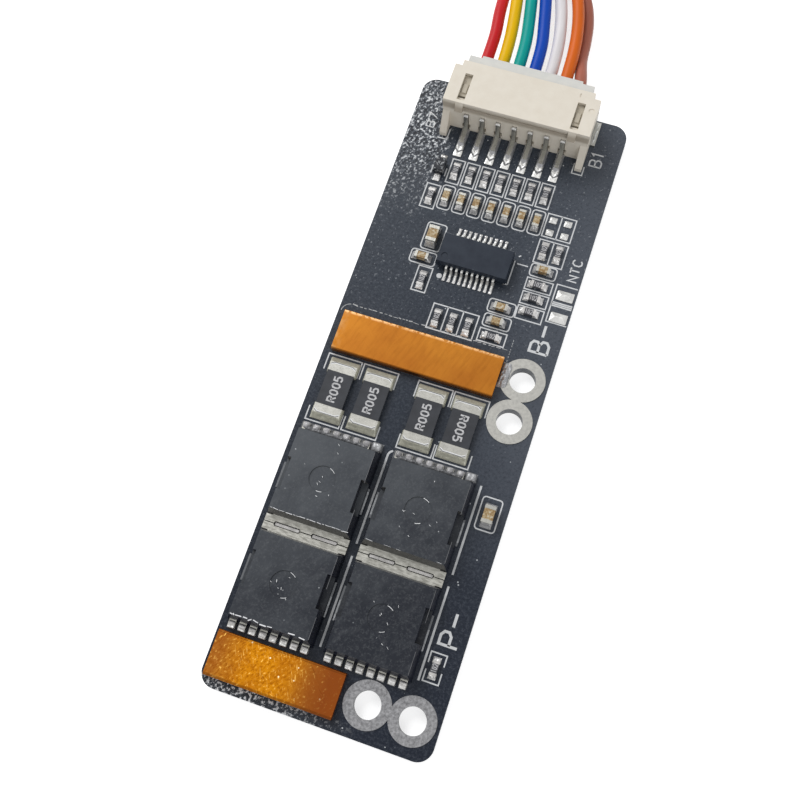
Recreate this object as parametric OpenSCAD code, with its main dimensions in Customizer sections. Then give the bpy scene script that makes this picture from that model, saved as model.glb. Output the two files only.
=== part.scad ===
// Battery management board for a seven-cell pack, with its cell-sensing plug and leads.
// Origin: centre of the board's underside. +Y points to the cell connector, +Z to the parts side.

/* [Board] */
// Width of the strip between the transistors and the board's side
strip_w = 4.35; // [4:0.05:8]
// Thickness of the laminate
board_t = 1.6; // [0.8:0.1:2.4]
// Corner radius of the board
corner_r = 1.8; // [0.5:0.1:2.4]
// Height of the tinned copper lands above the laminate
land_t = 0.1; // [0.04:0.01:0.15]

/* [Terminals] */
// Bore of each plated terminal hole
hole_d = 3; // [2:0.1:3.4]
// Outer diameter of the land round each terminal hole
ring_d = 5.2; // [4.4:0.1:5.3]
// Spacing of the two load holes, across the board
load_pitch = 5; // [4.6:0.1:5.4]
// Spacing of the two battery holes, along the board
battery_pitch = 5.1; // [4.6:0.1:5.4]
// Distance from the board's side to the nearest hole centres
terminal_side = 3; // [2.8:0.1:3.4]
// Distance from the board's end to the load hole centres
load_end = 3.75; // [3:0.05:4]
// Offset of the first battery hole from the middle of the battery bar
battery_offset = 0.7; // [0:0.1:1]

/* [Copper bars] */
// Width of each copper bar
bar_w = 5; // [4:0.1:5.2]
// Height of each copper bar
bar_t = 1; // [0.5:0.1:2]
// Radius of the bars' upper long edges
bar_edge_r = 0.2; // [0.05:0.05:0.4]
// Distance from the board's side to the battery bar
battery_bar_side = 1; // [0.4:0.1:2]
// Distance from the board's side to the load bar
load_bar_side = 0.5; // [0.4:0.1:2]
// Distance from the board's end to the load bar
load_bar_end = 1.1; // [0.6:0.1:1.2]
// Gap from the battery bar to the terminal land
battery_bar_gap = 0.1; // [0.05:0.05:0.6]
// Gap from the load bar to the terminal land
load_bar_gap = 0.4; // [0.1:0.1:1]

/* [Power transistors] */
// Width of a transistor's moulded body
fet_w = 9.9; // [9.4:0.1:10]
// Length of a transistor's moulded body
fet_len = 10.35; // [9.8:0.05:10.4]
// Height of a transistor
fet_h = 2.3; // [1.8:0.1:3]
// Taper of the moulded body on each side
fet_draft = 0.45; // [0.2:0.05:0.6]
// Reach of the drain tab beyond the body
fet_tab_out = 0.8; // [0.5:0.1:0.9]
// Width of the drain tab
fet_tab_w = 9.8; // [9:0.1:9.9]
// Depth of the two relief notches in the tab's end
fet_notch = 0.2; // [0.1:0.05:0.4]
// Reach of the source leads beyond the body
fet_lead_out = 0.7; // [0.4:0.1:0.8]
// Width of a source lead
fet_lead_w = 0.8; // [0.5:0.05:0.9]
// Pitch of the source leads
fet_lead_pitch = 1.2; // [1.1:0.01:1.22]
// Thickness of the copper frame
fet_frame_t = 0.5; // [0.4:0.05:0.7]
// Diameter of the round moulding mark
fet_mark_d = 3; // [1:0.1:4]
// Depth of the round moulding mark
fet_mark_depth = 0.1; // [0.05:0.01:0.2]
// Distance from the board's side to the first column of transistors
fet_side = 0.7; // [0.5:0.05:0.9]
// Gap between the two columns of transistors
fet_gap = 1.15; // [0.8:0.05:1.3]
// Gap between the tabs where two transistors meet
fet_seam = 0.1; // [0.05:0.05:0.3]
// Gap from the load bar to the lead tips
fet_bar_gap = 0.55; // [0.45:0.05:0.8]

/* [Current shunts] */
// Length of a shunt
shunt_len = 6.3; // [6:0.1:6.5]
// Width of a shunt
shunt_w = 3.2; // [2.8:0.1:3.4]
// Height of a shunt
shunt_h = 0.65; // [0.4:0.05:1]
// Length of a shunt's end terminal
shunt_end = 1.1; // [0.6:0.1:1.6]
// Reach of the shunt lands beyond the shunt
shunt_land_out = 0.65; // [0.3:0.05:0.7]
// Distance from the board's side to the first shunt's middle
shunt_side = 3.1; // [2.6:0.1:3.4]
// Spacing of the two shunts of a pair
shunt_pitch = 4.35; // [4.1:0.05:4.6]
// Gap from the last shunt's land to the terminal lands
shunt_ring_gap = 0.5; // [0.2:0.05:1]
// Gap from the shunt lands to the transistors' lead tips
shunt_fet_gap = 0.85; // [0.6:0.05:1]
// Gap from the shunt lands to the battery bar
shunt_bar_gap = 0.7; // [0.3:0.05:0.8]

/* [Small parts] */
// Length of a small chip part
chip_len = 1.6; // [1.4:0.05:1.7]
// Width of a small chip part
chip_w = 0.8; // [0.6:0.05:0.9]
// Height of a chip resistor
resistor_h = 0.45; // [0.3:0.05:0.6]
// Height of a chip capacitor
capacitor_h = 0.8; // [0.5:0.05:1]
// Length of a chip's end cap
chip_end = 0.3; // [0.15:0.05:0.5]
// Length of a large chip capacitor
big_chip_len = 2; // [1.8:0.05:2.1]
// Width and height of a large chip capacitor
big_chip_w = 1.25; // [1:0.05:1.3]
// Amount by which end caps stand proud of a chip's body
cap_step = 0.03; // [0.01:0.01:0.06]
// Reach of a chip's lands beyond the chip
chip_land_out = 0.4; // [0.2:0.05:0.45]
// Spacing of the chips along the cell rows
cell_pitch = 1.88; // [1.6:0.02:1.95]
// Distance between the two cell rows
cell_row_gap = 3.7; // [3.2:0.1:3.9]
// Distance from the connector's rear face to the resistor row
cell_row_back = 5.9; // [5.8:0.1:7]
// Distance from the capacitor row to the controller's middle
controller_row_gap = 6.9; // [6.2:0.05:8]
// Distance from the controller's middle to the lowest chip row
lower_row_gap = 8.2; // [7.4:0.05:10]
// Distance from the lowest chip row to the battery bar
lower_row_back = 2.45; // [1.5:0.05:5]

/* [Controller] */
// Length of the controller's body
ic_len = 8.65; // [8.2:0.05:8.9]
// Width of the controller's body
ic_w = 3.9; // [3.5:0.1:4.2]
// Height of the controller above its feet
ic_h = 1.55; // [1.2:0.05:1.8]
// Number of leads on each side of the controller
ic_leads = 10; // [8:1:10]
// Pitch of the controller's leads
ic_pitch = 0.635; // [0.5:0.005:0.65]
// Width of a controller lead
ic_lead_w = 0.25; // [0.15:0.01:0.35]
// Thickness of a controller lead
ic_lead_t = 0.2; // [0.12:0.01:0.25]
// Span of the controller across its lead tips
ic_span = 6; // [5.7:0.1:6.2]

/* [Cell connector] */
// Pitch of the connector's pins
pin_pitch = 2; // [2:0.01:2.1]
// Width and thickness of a pin
pin_w = 0.5; // [0.4:0.02:0.6]
// Height of the header above the board
header_h = 5.5; // [5:0.1:6.5]
// Depth of the header, front to rear
header_d = 5.75; // [5.5:0.05:5.9]
// Distance from the end pins to the header's sides
header_side = 2.95; // [2.6:0.05:3.2]
// Thickness of the header's floor
floor_t = 0.45; // [0.4:0.05:0.8]
// Thickness of the header's roof
roof_t = 0.4; // [0.3:0.05:0.8]
// Thickness of the header's rear wall
rear_t = 0.9; // [0.8:0.05:1.2]
// Distance by which the ears stop short of the header's front
ear_back = 0.75; // [0.3:0.05:1.2]
// Width of a roof slot
slot_w = 0.95; // [0.8:0.05:1]
// Length of a roof slot
slot_len = 3.65; // [3.4:0.05:3.8]
// Reach of the rear feet behind the header
foot_out = 1.6; // [0.8:0.1:1.8]
// Width of a rear foot
foot_w = 0.85; // [0.5:0.05:0.9]
// Height of the pins' centre line above the board
pin_z = 3.1; // [2.8:0.05:3.2]
// Reach of the pins' feet behind the header
pin_foot_out = 2.2; // [1.5:0.1:2.6]
// Reach of the pin lands behind the header
pin_land_out = 3.9; // [2.8:0.1:3.95]
// Width of a pin land
pin_land_w = 1; // [0.7:0.05:1.2]
// Distance from the end pins to the plug's sides
plug_side = 1.7; // [1.5:0.05:1.75]
// Reach of the plug beyond the header's front
plug_out = 1.15; // [0.5:0.05:2]
// Clearance between plug and header
plug_clear = 0.08; // [0.03:0.01:0.12]

/* [Hidden] */

$fn = 48;
eps = 0.01;

LAMINATE = [0.15, 0.17, 0.21];
TIN = [0.75, 0.74, 0.71];
COPPER = [0.80, 0.50, 0.18];
MOULD = [0.13, 0.13, 0.14];
CERAMIC = [0.72, 0.58, 0.40];
IVORY = [0.90, 0.86, 0.79];
MILK = [0.89, 0.89, 0.90];

// The board is as wide as its transistors and strip, and as long as the stack of parts on it
board_w = fet_side + 2 * fet_w + fet_gap + strip_w;
fet_total = fet_tab_out + fet_len + fet_lead_out;
shunt_stack = shunt_fet_gap + shunt_len + 2 * shunt_land_out + shunt_bar_gap;
power_stack = load_bar_end + bar_w + fet_bar_gap + 2 * fet_total + fet_seam + shunt_stack + bar_w;
control_stack = lower_row_back + lower_row_gap + controller_row_gap + cell_row_gap + cell_row_back;
board_len = power_stack + control_stack + header_d;
land_top = board_t + land_t;
side_x = board_w / 2;
end_y = board_len / 2;

// Terminals, copper bars, transistors and shunts, stacked from the load end of the board
terminal_x = side_x - terminal_side;
load_hole_y = load_end - end_y;
load_bar_y = load_bar_end - end_y;
seam_y = load_bar_y + bar_w + fet_bar_gap + fet_total + fet_seam / 2;
upper_tip_y = seam_y + fet_seam / 2 + fet_total;
shunt_land_y = upper_tip_y + shunt_fet_gap;
shunt_y = shunt_land_y + shunt_land_out + shunt_len / 2;
battery_bar_y = shunt_land_y + shunt_len + 2 * shunt_land_out + shunt_bar_gap;
battery_hole_y = battery_bar_y + bar_w / 2 + battery_offset;
ring_r = ring_d / 2;
bore_r = hole_d / 2;
battery_holes = [[terminal_x, battery_hole_y], [terminal_x, battery_hole_y - battery_pitch]];
load_holes = [[terminal_x, load_hole_y], [terminal_x - load_pitch, load_hole_y]];

// Each transistor: middle of the column, tab end, and direction of its leads along Y
fet_x = [fet_side + fet_w / 2 - side_x, fet_side + fet_w * 3 / 2 + fet_gap - side_x];
FETS = [
    [fet_x[0], seam_y + fet_seam / 2, 1],
    [fet_x[1], seam_y + fet_seam / 2, 1],
    [fet_x[0], seam_y - fet_seam / 2, -1],
    [fet_x[1], seam_y - fet_seam / 2, -1]
];
fet_pins = 8;
fet_lead_len = 1.9;
fet_lead_land_out = 0.15;
fet_pad_w = 8.3;
fet_pad_len = 7.6;
fet_wing_y = 5.35;
fet_wing_len = 3;
fet_wing_t = 0.35;
fet_wing_out = 0.15;
fet_pocket_len = 3.8;
fet_pocket_depth = 0.85;
fet_pocket_floor = 0.3;
fet_notch_len = 2.9;
fet_notch_x = 2.2;

shunt_land_w = shunt_w + 0.4;
shunt_first_x = shunt_side - side_x;
shunt_last_x = terminal_x - ring_r - shunt_ring_gap - shunt_land_w / 2;
SHUNT_X = [shunt_first_x, shunt_first_x + shunt_pitch, shunt_last_x - shunt_pitch, shunt_last_x];

// Connector and cell rows, placed from the connector end
WIRES = 7;
header_y = end_y - header_d;
header_w = (WIRES - 1) * pin_pitch + 2 * header_side;
plug_w = (WIRES - 1) * pin_pitch + 2 * plug_side;
plug_y = rear_t + 0.3;
plug_h = header_h - floor_t - roof_t - 2 * plug_clear;
plug_len = header_d + plug_out - plug_y;
plug_face_y = header_y + header_d + plug_out;
resistor_row_y = header_y - cell_row_back;
capacitor_row_y = resistor_row_y - cell_row_gap;
cell_row_x = 0.15;
ic_x = 0.38;
ic_y = capacitor_row_y - controller_row_gap;
lower_row_y = ic_y - lower_row_gap;

// Controller's feet
ic_foot = 0.6;
ic_standoff = 0.15;
ic_exit_z = (ic_h + ic_standoff) / 2;

// Header's own frame: x = 0 in the middle, y = 0 at the rear edge of the roof, z = 0 on the board
anchor_y = 2.1;
anchor_len = 3.25;
anchor_out = 0.6;
anchor_t = 0.25;
anchor_h = 2.5;
slot_x = header_w / 2 - 2.05;
slot_y = 0.4;
rib_out = 0.55;
rib_z = header_h - 1.25;
foot_h = 3.2;
foot_toe = 0.6;
groove_z = header_h - 0.9;
groove = 0.12;
mark_t = 0.08;
ejector_d = 0.7;
ejector_at = [header_w / 2 - 0.7, 3.3];
gate_at = [header_w / 2 - 2.5, 5];
pin_slot_w = 1;
pin_top = pin_z + pin_w / 2;
pin_leg_out = 0.32;
cavity_w = plug_w + 2 * plug_clear;
cavity_z1 = header_h - roof_t;

// Plug and its crimp contacts, in the header's frame
boss_w = 0.75;
boss_len = 1.4;
boss_h = 0.15;
lip_w = 12.4;
lip_out = 0.3;
lip_h = 0.9;
cell_w = 1.5;
cell_h = 1.9;
cell_wall = 0.8;
pin_hole = pin_w + 0.2;
plug_z = floor_t + plug_clear;
pin_mid = pin_z - plug_z;
sleeve_clear = 0.05;
sleeve_len = 2.6;
pin_reach = 2.3;
pin_tip_y = plug_y + cell_wall + pin_reach;

// Chip sizes: length, width, height, end cap
RESISTOR = [chip_len, chip_w, resistor_h, chip_end];
CAPACITOR = [chip_len, chip_w, capacitor_h, chip_end];
BIG_CAPACITOR = [big_chip_len, big_chip_w, big_chip_w, chip_end + 0.1];

// Columns of chips to the left and right of the controller, and rows counted from its middle
ic_left = ic_x - ic_len / 2;
ic_right = ic_x + ic_len / 2;
left_column = ic_left - 1.75;
right_column = ic_right + 3.7;
near_column = ic_right + 0.3;
outer_column = cell_row_x - 3 * cell_pitch - 1.9;
pair_x = right_column + 0.15;
pair_half = 0.87;
row_pitch = 1.75;

// Chip places: X, Y and turn
BALANCE = [for (i = [0:WIRES - 1]) [cell_row_x + (i - (WIRES - 1) / 2) * cell_pitch, resistor_row_y, 90]];
FILTER = [for (p = BALANCE) [p[0], capacitor_row_y, 90]];
LOWER_ROW = [for (k = [-1:1]) [cell_row_x + k * cell_pitch, lower_row_y, 90]];
RIGHT_COLUMN = [for (k = [0:2]) [right_column - 0.15, ic_y - 0.85 - k * row_pitch, 0]];
UPPER_PAIR = [for (k = [-1, 1]) [pair_x + k * pair_half, ic_y + 3.6, 90]];
gate_resistor_side = 2.5;
gate_resistor_back = 9;
gate_resistor = [side_x - gate_resistor_side, seam_y - gate_resistor_back, 90];
bulk_capacitor_side = 2;
bulk_capacitor_front = 8.2;
RESISTORS = concat(LOWER_ROW, RIGHT_COLUMN, UPPER_PAIR, [
    [outer_column, capacitor_row_y - 0.3, 90],
    [left_column + 0.8, ic_y - 4.15, 90],
    [near_column, lower_row_y - 0.35, 0],
    gate_resistor
]);
CAPACITORS = [
    [left_column - 0.1, ic_y - 1.4, 0],
    [right_column - 0.05, ic_y + 1.05, 0],
    [near_column, ic_y - 4.8, 0],
    [near_column, ic_y - 6.65, 0]
];
BIG_CAPACITORS = [
    [left_column + 0.35, ic_y + 1.45, 90],
    [side_x - bulk_capacitor_side, seam_y + bulk_capacitor_front, 90]
];
SPARE_LANDS = [for (x = [-0.9, 0.9], y = [-0.8, 0.85]) [pair_x + x, capacitor_row_y + y]];
spare_land = [0.9, 0.8];
SENSOR_LANDS = [for (y = [1.2, 4]) [side_x - 1.3, ic_y - y]];
sensor_land = [2, 1.2];
diode_place = [outer_column - 0.05, resistor_row_y - 0.1];
diode_body_size = [1.3, 1.8, 1];
diode_lead = [0.5, 2.7, 0.15];
diode_land = [0.8, 0.9];

// Leads to the cells: diameter, and the points that each one's middle follows
wire_d = 1.5;
wire_sides = 8;
run_pitch = wire_d + 0.05;
hank_top_layer = wire_d / 2 + 3 * run_pitch;
WIRE_Y = [39.9, 42, 45, 48, 51, 54, 57, 60, 64, 68, 72];
RED_X = [-6, -6, -6.1, -6.5, -6.8, -7.1, -7.2, -7.1, -6.95, -6.85, -6.85];
RED_Z = [4.7, 4.7, 4.7, 4.6, 4.1, 3.2, 2.2, 1.35, 0.85, 0.75, 0.75];
YELLOW_X = [-4, -4, -4.2, -4.6, -5.1, -5.6, -6.1, -6.5, -6.8, -6.85, -6.85];
YELLOW_Z = [4.7, 4.7, 4.7, 4.7, 4.6, 4.3, 3.7, 2.95, 2.45, 2.3, 2.3];
TEAL_X = [-2, -2, -2.2, -2.7, -3.3, -4, -4.8, -5.6, -6.5, -6.85, -6.85];
TEAL_Z = [4.7, 4.7, 4.7, 4.7, 4.75, 4.8, 4.75, 4.45, 4.05, 3.85, 3.85];
BLUE_X = [0, 0, -0.2, -0.8, -1.5, -2.4, -3.5, -4.8, -6.3, -6.85, -6.85];
BLUE_Z = [4.7, 4.7, 4.7, 4.7, 4.8, 5.2, 5.7, 5.9, 5.65, 5.4, 5.4];
WHITE_X = [2, 2, 1.8, 1.3, 0.5, -0.6, -1.9, -3.3, -4.85, -5.3, -5.3];
WHITE_Z = [4.7, 4.7, 4.7, 4.7, 4.7, 4.7, 4.65, 4.4, 4, 3.85, 3.85];
ORANGE_X = [4, 3.95, 3.8, 3.4, 2.7, 1.6, 0.2, -1.7, -4.2, -5.2, -5.3];
ORANGE_Z = [4.7, 4.7, 4.7, 4.7, 4.6, 4.4, 3.95, 3.2, 2.45, 2.3, 2.3];
BROWN_X = [6, 5.6, 4.9, 4.6, 4.1, 3.1, 1.4, -0.8, -3.9, -5.2, -5.3];
BROWN_Z = [4.7, 4.35, 3.45, 3.1, 2.9, 2.5, 1.9, 1.3, 0.85, 0.75, 0.75];
LEADS = [
    ["wire_red", [0.80, 0.18, 0.20], RED_X, RED_Z],
    ["wire_yellow", [0.89, 0.73, 0.08], YELLOW_X, YELLOW_Z],
    ["wire_teal", [0.12, 0.63, 0.57], TEAL_X, TEAL_Z],
    ["wire_blue", [0.14, 0.31, 0.73], BLUE_X, BLUE_Z],
    ["wire_white", [0.92, 0.90, 0.91], WHITE_X, WHITE_Z],
    ["wire_orange", [0.87, 0.45, 0.18], ORANGE_X, ORANGE_Z],
    ["wire_brown", [0.59, 0.37, 0.31], BROWN_X, BROWN_Z]
];

// Hank of the stored length: two columns of wires, drawn in to a waist by a tie
hank_x = 2;
hank_y0 = 72;
hank_y1 = 100;
hank_tie_y = 86;
hank_inner_run = 5.75;
hank_end_r = hank_inner_run + 2 * run_pitch + wire_d / 2;
hank_fold_r = hank_inner_run + run_pitch + wire_d / 2;
hank_fold_x = hank_x + hank_end_r - hank_fold_r;
hank_h = hank_top_layer + wire_d / 2 + 0.05;
hank_waist_in = 3.4;
hank_waist_len = 20;
hank_step = 2;
tie_t = 0.6;
tie_w = 2.5;
tie_saddle = 6;
tie_head = [4, 3.4, 2.4];
tie_head_x = 1.5;
tie_tail_len = 3;

// Flat plate with a rounded outline
module rounded_plate(size, r, t) {
    linear_extrude(t)
        hull()
            for (x = [r - size[0] / 2, size[0] / 2 - r], y = [r - size[1] / 2, size[1] / 2 - r])
                translate([x, y])
                    circle(r);
}

// Box standing on z = 0, centred in X and Y
module block(size) {
    translate([-size[0] / 2, -size[1] / 2, 0])
        cube(size);
}

// Block whose four sides lean in by the draft as they rise
module drafted_block(size, draft) {
    intersection() {
        rotate([90, 0, 0])
            linear_extrude(size[1], center = true)
                trapezium(size[0], size[2], draft);
        rotate([90, 0, 90])
            linear_extrude(size[0], center = true)
                trapezium(size[1], size[2], draft);
    }
}

module trapezium(w, h, draft) {
    polygon([[-w / 2, 0], [w / 2, 0], [w / 2 - draft, h], [draft - w / 2, h]]);
}

module at(places, z) {
    for (p = places)
        translate([p[0], p[1], z])
            rotate(p[2])
                children();
}

// Board with its terminal holes, recessed below for their lands
module board() {
    color(LAMINATE)
        difference() {
            rounded_plate([board_w, board_len], corner_r, board_t);
            for (p = concat(battery_holes, load_holes))
                translate([p[0], p[1], -eps]) {
                    cylinder(r = bore_r, h = board_t + 2 * eps);
                    cylinder(r = ring_r, h = land_t + eps);
                }
        }
}

// Lands of a pair of terminal holes, one plate on each face of the board
module hole_lands(holes) {
    difference() {
        for (p = holes, z = [0, board_t])
            translate([p[0], p[1], z])
                cylinder(r = ring_r, h = land_t);
        for (p = holes)
            translate([p[0], p[1], -eps])
                cylinder(r = bore_r, h = land_top + 2 * eps);
    }
}

module battery_lands() {
    color(TIN)
        hole_lands(battery_holes);
}

module load_lands() {
    color(TIN)
        hole_lands(load_holes);
}

// Two lands of one chip, set out along X
module chip_lands(size) {
    land_len = size[3] + chip_land_out;
    for (s = [-1, 1])
        translate([s * (size[0] / 2 + chip_land_out - land_len / 2), 0, 0])
            block([land_len, size[1] + 0.1, land_t]);
}

// Lands under the bars, transistors and shunts
module power_lands() {
    color(TIN)
        translate([0, 0, board_t]) {
            bar_plan(battery_bar_box(), land_t);
            bar_plan(load_bar_box(), land_t);
            for (x = fet_x)
                translate([x, seam_y, 0])
                    block([fet_tab_w, 2 * fet_pad_len, land_t]);
            for (fet = FETS)
                translate([fet[0], fet[1], 0])
                    scale([1, fet[2], 1])
                        fet_leads(fet_lead_land_out, land_t);
            for (x = SHUNT_X, s = [-1, 1])
                translate([x, shunt_y + s * (shunt_len / 2 + shunt_land_out - shunt_end / 2 - 0.4), 0])
                    block([shunt_land_w, shunt_end + 0.8, land_t]);
        }
}

// Lands of the controller, the chips, the diode, the header and the places left empty
module control_lands() {
    color(TIN) {
        at(concat(BALANCE, FILTER, RESISTORS, CAPACITORS), board_t)
            chip_lands(RESISTOR);
        at(BIG_CAPACITORS, board_t)
            chip_lands(BIG_CAPACITOR);
        for (p = SPARE_LANDS)
            translate([p[0], p[1], board_t])
                block([spare_land[0], spare_land[1], land_t]);
        for (s = [-1, 1])
            translate([diode_place[0], diode_place[1] + s * diode_lead[1] / 2, board_t])
                block([diode_land[0], diode_land[1], land_t]);
        for (i = [0:ic_leads - 1], s = [-1, 1])
            translate([ic_x + (i - (ic_leads - 1) / 2) * ic_pitch, ic_y + s * (ic_span / 2 - 0.25), board_t])
                block([ic_lead_w + 0.1, 1.5, land_t]);
        for (i = [0:WIRES - 1])
            translate([pin_x(i), header_y - pin_land_out / 2, board_t])
                block([pin_land_w, pin_land_out, land_t]);
        for (s = [-1, 1])
            translate([s * (header_w / 2 + anchor_out / 2), header_y + anchor_y + anchor_len / 2, board_t])
                block([anchor_out, anchor_len, land_t]);
    }
}

// Two bare lands for the temperature sensor's leads
module sensor_lands() {
    color(TIN)
        for (p = SENSOR_LANDS)
            translate([p[0], p[1], board_t])
                block([sensor_land[0], sensor_land[1], land_t]);
}

// Copper bars. A box holds the lower-left corner and the length along X
function battery_bar_box() = [battery_bar_side - side_x, battery_bar_y,
    terminal_x - ring_r - battery_bar_gap - battery_bar_side + side_x];
function load_bar_box() = [load_bar_side - side_x, load_bar_y,
    terminal_x - load_pitch - ring_r - load_bar_gap - load_bar_side + side_x];

module bar_plan(box, t) {
    translate([box[0], box[1], 0])
        cube([box[2], bar_w, t]);
}

module copper_bar(box) {
    color(COPPER)
        translate([box[0], box[1] + bar_w / 2, land_top])
            rotate([90, 0, 90])
                linear_extrude(box[2])
                    bar_section();
}

// Section of a bar: square below, upper edges rounded
module bar_section() {
    union() {
        translate([-bar_w / 2, 0])
            square([bar_w, bar_t - bar_edge_r]);
        translate([bar_edge_r - bar_w / 2, 0])
            square([bar_w - 2 * bar_edge_r, bar_t]);
        for (s = [-1, 1])
            translate([s * (bar_w / 2 - bar_edge_r), bar_t - bar_edge_r])
                circle(bar_edge_r, $fn = 24);
    }
}

module battery_bar() {
    copper_bar(battery_bar_box());
}

module load_bar() {
    copper_bar(load_bar_box());
}

// Transistor, seen with its tab end at y = 0 and its leads towards +Y
module fet_leads(over, t) {
    tip_y = fet_total + over;
    for (i = [0:fet_pins - 1])
        translate([(i - (fet_pins - 1) / 2) * fet_lead_pitch, tip_y - (fet_lead_len + over) / 2, 0])
            block([fet_lead_w, fet_lead_len + over, t]);
}

module fet_tab() {
    linear_extrude(fet_frame_t)
        difference() {
            union() {
                translate([-fet_tab_w / 2, 0])
                    square([fet_tab_w, fet_tab_out]);
                translate([-fet_pad_w / 2, 0])
                    square([fet_pad_w, fet_pad_len]);
            }
            for (s = [-1, 1])
                translate([s * fet_notch_x - fet_notch_len / 2, -eps])
                    square([fet_notch_len, fet_notch + eps]);
        }
    linear_extrude(fet_wing_t)
        translate([-fet_w / 2 - fet_wing_out, fet_wing_y - fet_wing_len / 2])
            square([fet_w + 2 * fet_wing_out, fet_wing_len]);
}

module fet_moulding() {
    difference() {
        translate([0, fet_tab_out + fet_len / 2, 0])
            drafted_block([fet_w, fet_len, fet_h], fet_draft);
        fet_tab();
        fet_leads(0, fet_frame_t);
        for (s = [-1, 1])
            translate([s * fet_w / 2, fet_wing_y, fet_wing_t + fet_pocket_floor])
                block([2 * fet_pocket_depth, fet_pocket_len, fet_h]);
        translate([0, fet_tab_out + fet_len / 2, fet_h - fet_mark_depth])
            cylinder(d = fet_mark_d, h = 1);
    }
}

module place_fet(i) {
    translate([FETS[i][0], FETS[i][1], land_top])
        mirror([0, FETS[i][2] < 0 ? 1 : 0, 0])
            children();
}

module mosfet_body(i) {
    color(MOULD)
        place_fet(i)
            fet_moulding();
}

module mosfet_frame(i) {
    color(TIN)
        place_fet(i) {
            fet_tab();
            fet_leads(0, fet_frame_t);
        }
}

// Shunts
module shunt_body(i) {
    color(MOULD)
        translate([SHUNT_X[i], shunt_y, land_top])
            block([shunt_w - 2 * cap_step, shunt_len - 2 * shunt_end, shunt_h]);
}

module shunt_ends(i) {
    color(TIN)
        for (s = [-1, 1])
            translate([SHUNT_X[i], shunt_y + s * (shunt_len - shunt_end) / 2, land_top])
                block([shunt_w, shunt_end, shunt_h - 0.05]);
}

// Chips, set out along X
module chip_body(size) {
    block([size[0] - 2 * size[3], size[1] - 2 * cap_step, size[2] - cap_step]);
}

module chip_ends(size) {
    for (s = [-1, 1])
        translate([s * (size[0] - size[3]) / 2, 0, 0])
            block([size[3], size[1], size[2]]);
}

module chip_row_bodies(places, size, shade) {
    color(shade)
        at(places, land_top)
            chip_body(size);
}

module chip_row_ends(places, size) {
    color(TIN)
        at(places, land_top)
            chip_ends(size);
}

// Controller: moulded body and gull-wing leads
module controller_body() {
    half_h = ic_exit_z - ic_standoff;
    color(MOULD)
        translate([ic_x, ic_y, land_top + ic_exit_z])
            difference() {
                union() {
                    drafted_block([ic_len, ic_w, ic_h - ic_exit_z], 0.12);
                    mirror([0, 0, 1])
                        drafted_block([ic_len, ic_w, half_h], 0.12);
                }
                translate([0.9 - ic_len / 2, 0.9 - ic_w / 2, ic_h - ic_exit_z - 0.08])
                    cylinder(d = 0.8, h = 1, $fn = 24);
            }
}

module gull_wing() {
    t = ic_lead_t;
    tip = ic_span / 2;
    knee = tip - ic_foot;
    root = ic_w / 2;
    polygon([[root, ic_exit_z - t / 2], [knee - 0.2, ic_exit_z - t / 2], [knee, 0], [tip, 0], [tip, t],
        [knee + 0.15, t], [knee - 0.05, ic_exit_z + t / 2], [root, ic_exit_z + t / 2]]);
}

module controller_leads() {
    color(TIN)
        translate([ic_x, ic_y, land_top])
            for (i = [0:ic_leads - 1], turn = [0, 180])
                rotate(turn)
                    translate([(i - (ic_leads - 1) / 2) * ic_pitch, 0, 0])
                        rotate([90, 0, 90])
                            linear_extrude(ic_lead_w, center = true)
                                gull_wing();
}

// Diode
module diode_body() {
    color(MOULD)
        translate([diode_place[0], diode_place[1], land_top + diode_lead[2]])
            drafted_block(diode_body_size, 0.08);
}

module diode_leads() {
    color(TIN)
        for (s = [-1, 1])
            translate([diode_place[0], diode_place[1] + s * (diode_lead[1] / 4 + 0.2), land_top])
                block([diode_lead[0], diode_lead[1] / 2 - 0.4, diode_lead[2]]);
}

function pin_x(i) = (i - (WIRES - 1) / 2) * pin_pitch;

module header_plan() {
    difference() {
        translate([-header_w / 2, 0])
            square([header_w, header_d]);
        for (s = [-1, 1])
            translate([s * header_w / 2 - foot_w, header_d - ear_back])
                square([2 * foot_w, ear_back + eps]);
    }
}

// Side view of a shape extruded along X, centred on x = 0
module along_x(w) {
    rotate([90, 0, 90])
        linear_extrude(w, center = true)
            children();
}

module header_shell() {
    linear_extrude(header_h)
        header_plan();
    for (s = [-1, 1]) {
        translate([s * (header_w - foot_w) / 2, 0, 0])
            along_x(foot_w)
                polygon([[rear_t, 0], [-foot_out, 0], [-foot_out, foot_toe], [0, foot_h], [rear_t, foot_h]]);
        translate([s * slot_x, 0, 0])
            along_x(slot_w)
                polygon([[rear_t, rib_z - 0.25], [0, rib_z - 0.25], [-rib_out, rib_z], [0, header_h],
                    [rear_t, header_h]]);
    }
}

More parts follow.
